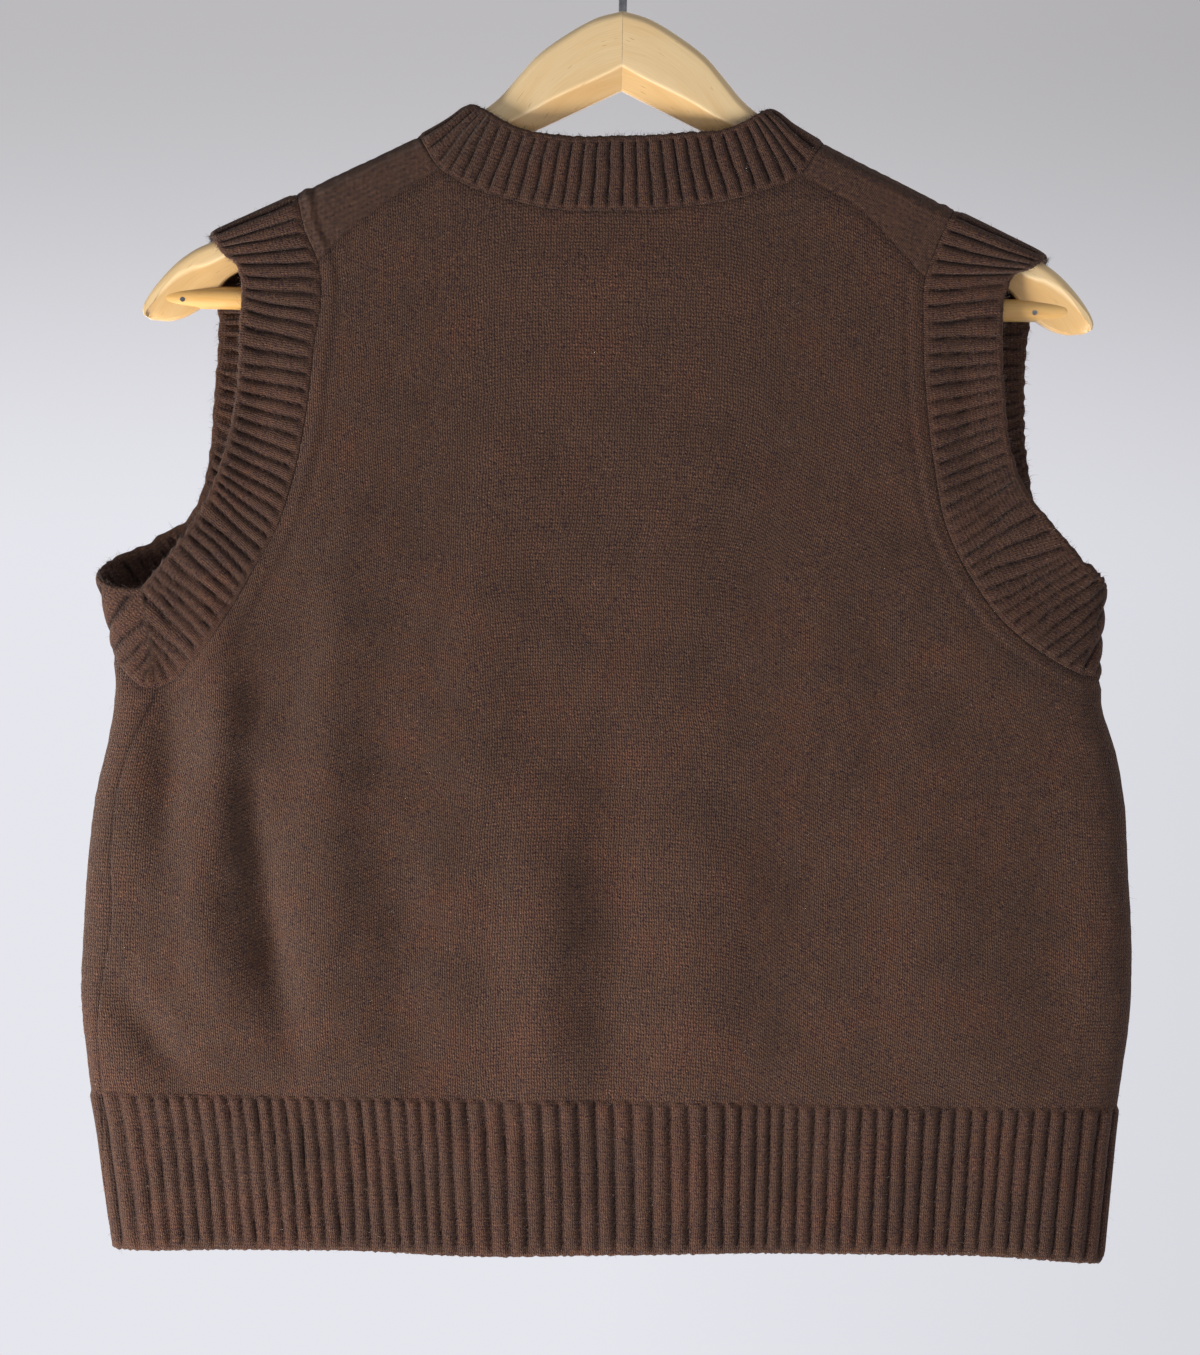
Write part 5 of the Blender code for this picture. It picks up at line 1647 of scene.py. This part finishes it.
def fibre_arrays(roots, normals, lengths, radius, chance):
    """Threads of three rings of three points: out along the normal, bent sideways by a random share. A ring
    is its share of the thread's length, and how much of its thickness is left."""
    count = len(roots)
    side = chance.normal(size=(count, 3))
    side -= (side * normals).sum(-1, keepdims=True) * normals
    side /= np.linalg.norm(side, axis=-1, keepdims=True)
    other = np.cross(normals, side)
    lean = chance.uniform(0.4, 2.2, (count, 1))
    rings = []
    for share, narrow in RINGS:
        centre = roots + normals * lengths[:, None] * share
        centre = centre + side * lengths[:, None] * lean * share * abs(share)
        for angle in CORNER_ANGLES:
            rings.append(centre + radius * narrow * (math.cos(angle) * side + math.sin(angle) * other))
    vertices = np.stack(rings, 1).reshape(-1, 3)
    base = 9 * np.arange(count)[:, None]
    faces = []
    for ring in range(2):
        for corner in range(3):
            a, b = 3 * ring + corner, 3 * ring + (corner + 1) % 3
            faces.append(base + np.array([a, b, b + 3, a + 3]))
    return vertices, np.concatenate(faces)


fibre_wool, tree, paint = new_material("fibre_wool")
place = node(tree, "ShaderNodeTexCoord").outputs["Object"]
FIBRE_BROWNS = ((0.35, (0.07, 0.04, 0.03)), (0.65, (0.15, 0.095, 0.07)))
tree.links.new(ramp(tree, noise(tree, place, 400.0), FIBRE_BROWNS), paint.inputs["Base Color"])
paint.inputs["Roughness"].default_value = 0.8
paint.inputs["Sheen Weight"].default_value = 0.3


def add_fibres(name, pieces, count, longest, seed):
    """Threads on random faces of the pieces, as many on each square centimetre."""
    chance = np.random.default_rng(seed)
    places, ways, areas = [], [], []
    for piece in pieces:
        faces = CLOTH[piece].data.polygons
        centre, normal, area = (np.empty(len(faces) * size, np.float32) for size in (3, 3, 1))
        faces.foreach_get("center", centre)
        faces.foreach_get("normal", normal)
        faces.foreach_get("area", area)
        places.append(centre.reshape(-1, 3) / MM)
        ways.append(normal.reshape(-1, 3))
        areas.append(area)
    places, ways, areas = np.concatenate(places), np.concatenate(ways), np.concatenate(areas)
    chosen = chance.choice(len(places), count, p=areas / areas.sum())
    lengths = longest * chance.beta(1.3, 3.2, count) + SHORTEST
    vertices, quads = fibre_arrays(places[chosen], ways[chosen], lengths, FIBRE_RADIUS, chance)
    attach(mesh_object(name, vertices, quads, fibre_wool), "root")
    print(name, count, "fibres")


BAND_NAMES = ("back_hem", "front_hem", "armband_left", "armband_right", "neckband")
add_fibres("fibres_on_body", ("back", "front"), 13000, 2.4, 51)
add_fibres("fibres_on_bands", BAND_NAMES, 14000, 2.6, 52)

chance = np.random.default_rng(53)
edge_roots = np.concatenate([edge for edge, _ in FREE_EDGES])
edge_ways = np.concatenate([way for _, way in FREE_EDGES])
chosen = chance.integers(0, len(edge_roots), EDGE_FIBRES)
lengths = EDGE_SHORTEST + EDGE_LONGEST * chance.beta(1.2, 4.0, EDGE_FIBRES)
vertices, quads = fibre_arrays(edge_roots[chosen], edge_ways[chosen], lengths, EDGE_FIBRE_RADIUS, chance)
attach(mesh_object("fibres_on_edges", vertices, quads, fibre_wool), "root")
print("fibres_on_edges", EDGE_FIBRES, "fibres")

# %% [markdown]
# ## Flat sizes
#
# Each knitted piece is listed as a sheet with the size it was knitted to, and printed beside the surface
# built. The front includes both shoulders, which pass over the hanger, so it is longer than the back. The
# bands lie all round, so their flat size is a long strip. The fill is the share of that rectangle left once
# the armholes, the neck and the slopes are cut away, worked out from the garment's outline and not from the
# mesh: the back is 195 mm high and 480 mm wide below the armholes, 226 mm high and 320 mm wide on average
# above them, with two small shoulder corners.

# %% Sheets and sizes
FLAT_COLUMNS = ("across", "along", "fill")
FLAT_ROWS = {
    "back": (0.500, 0.440, 0.77),
    "front": (0.500, 0.460, 0.68),
    "back_hem": (0.490, 0.074, 0.94),
    "front_hem": (0.490, 0.074, 0.94),
    "armband_left": (0.520, 0.042, 0.72),
    "armband_right": (0.500, 0.040, 0.80),
    "neckband": (0.720, 0.036, 0.86),
}
for name, row in FLAT_ROWS.items():
    cut = dict(zip(FLAT_COLUMNS, row))
    flat = cut["across"], cut["along"]
    area = cut["fill"] * flat[0] * flat[1]
    print(name, "flat", flat, "m, cut", round(area, 4), "m2, surface built", round(AREAS[name], 4), "m2")
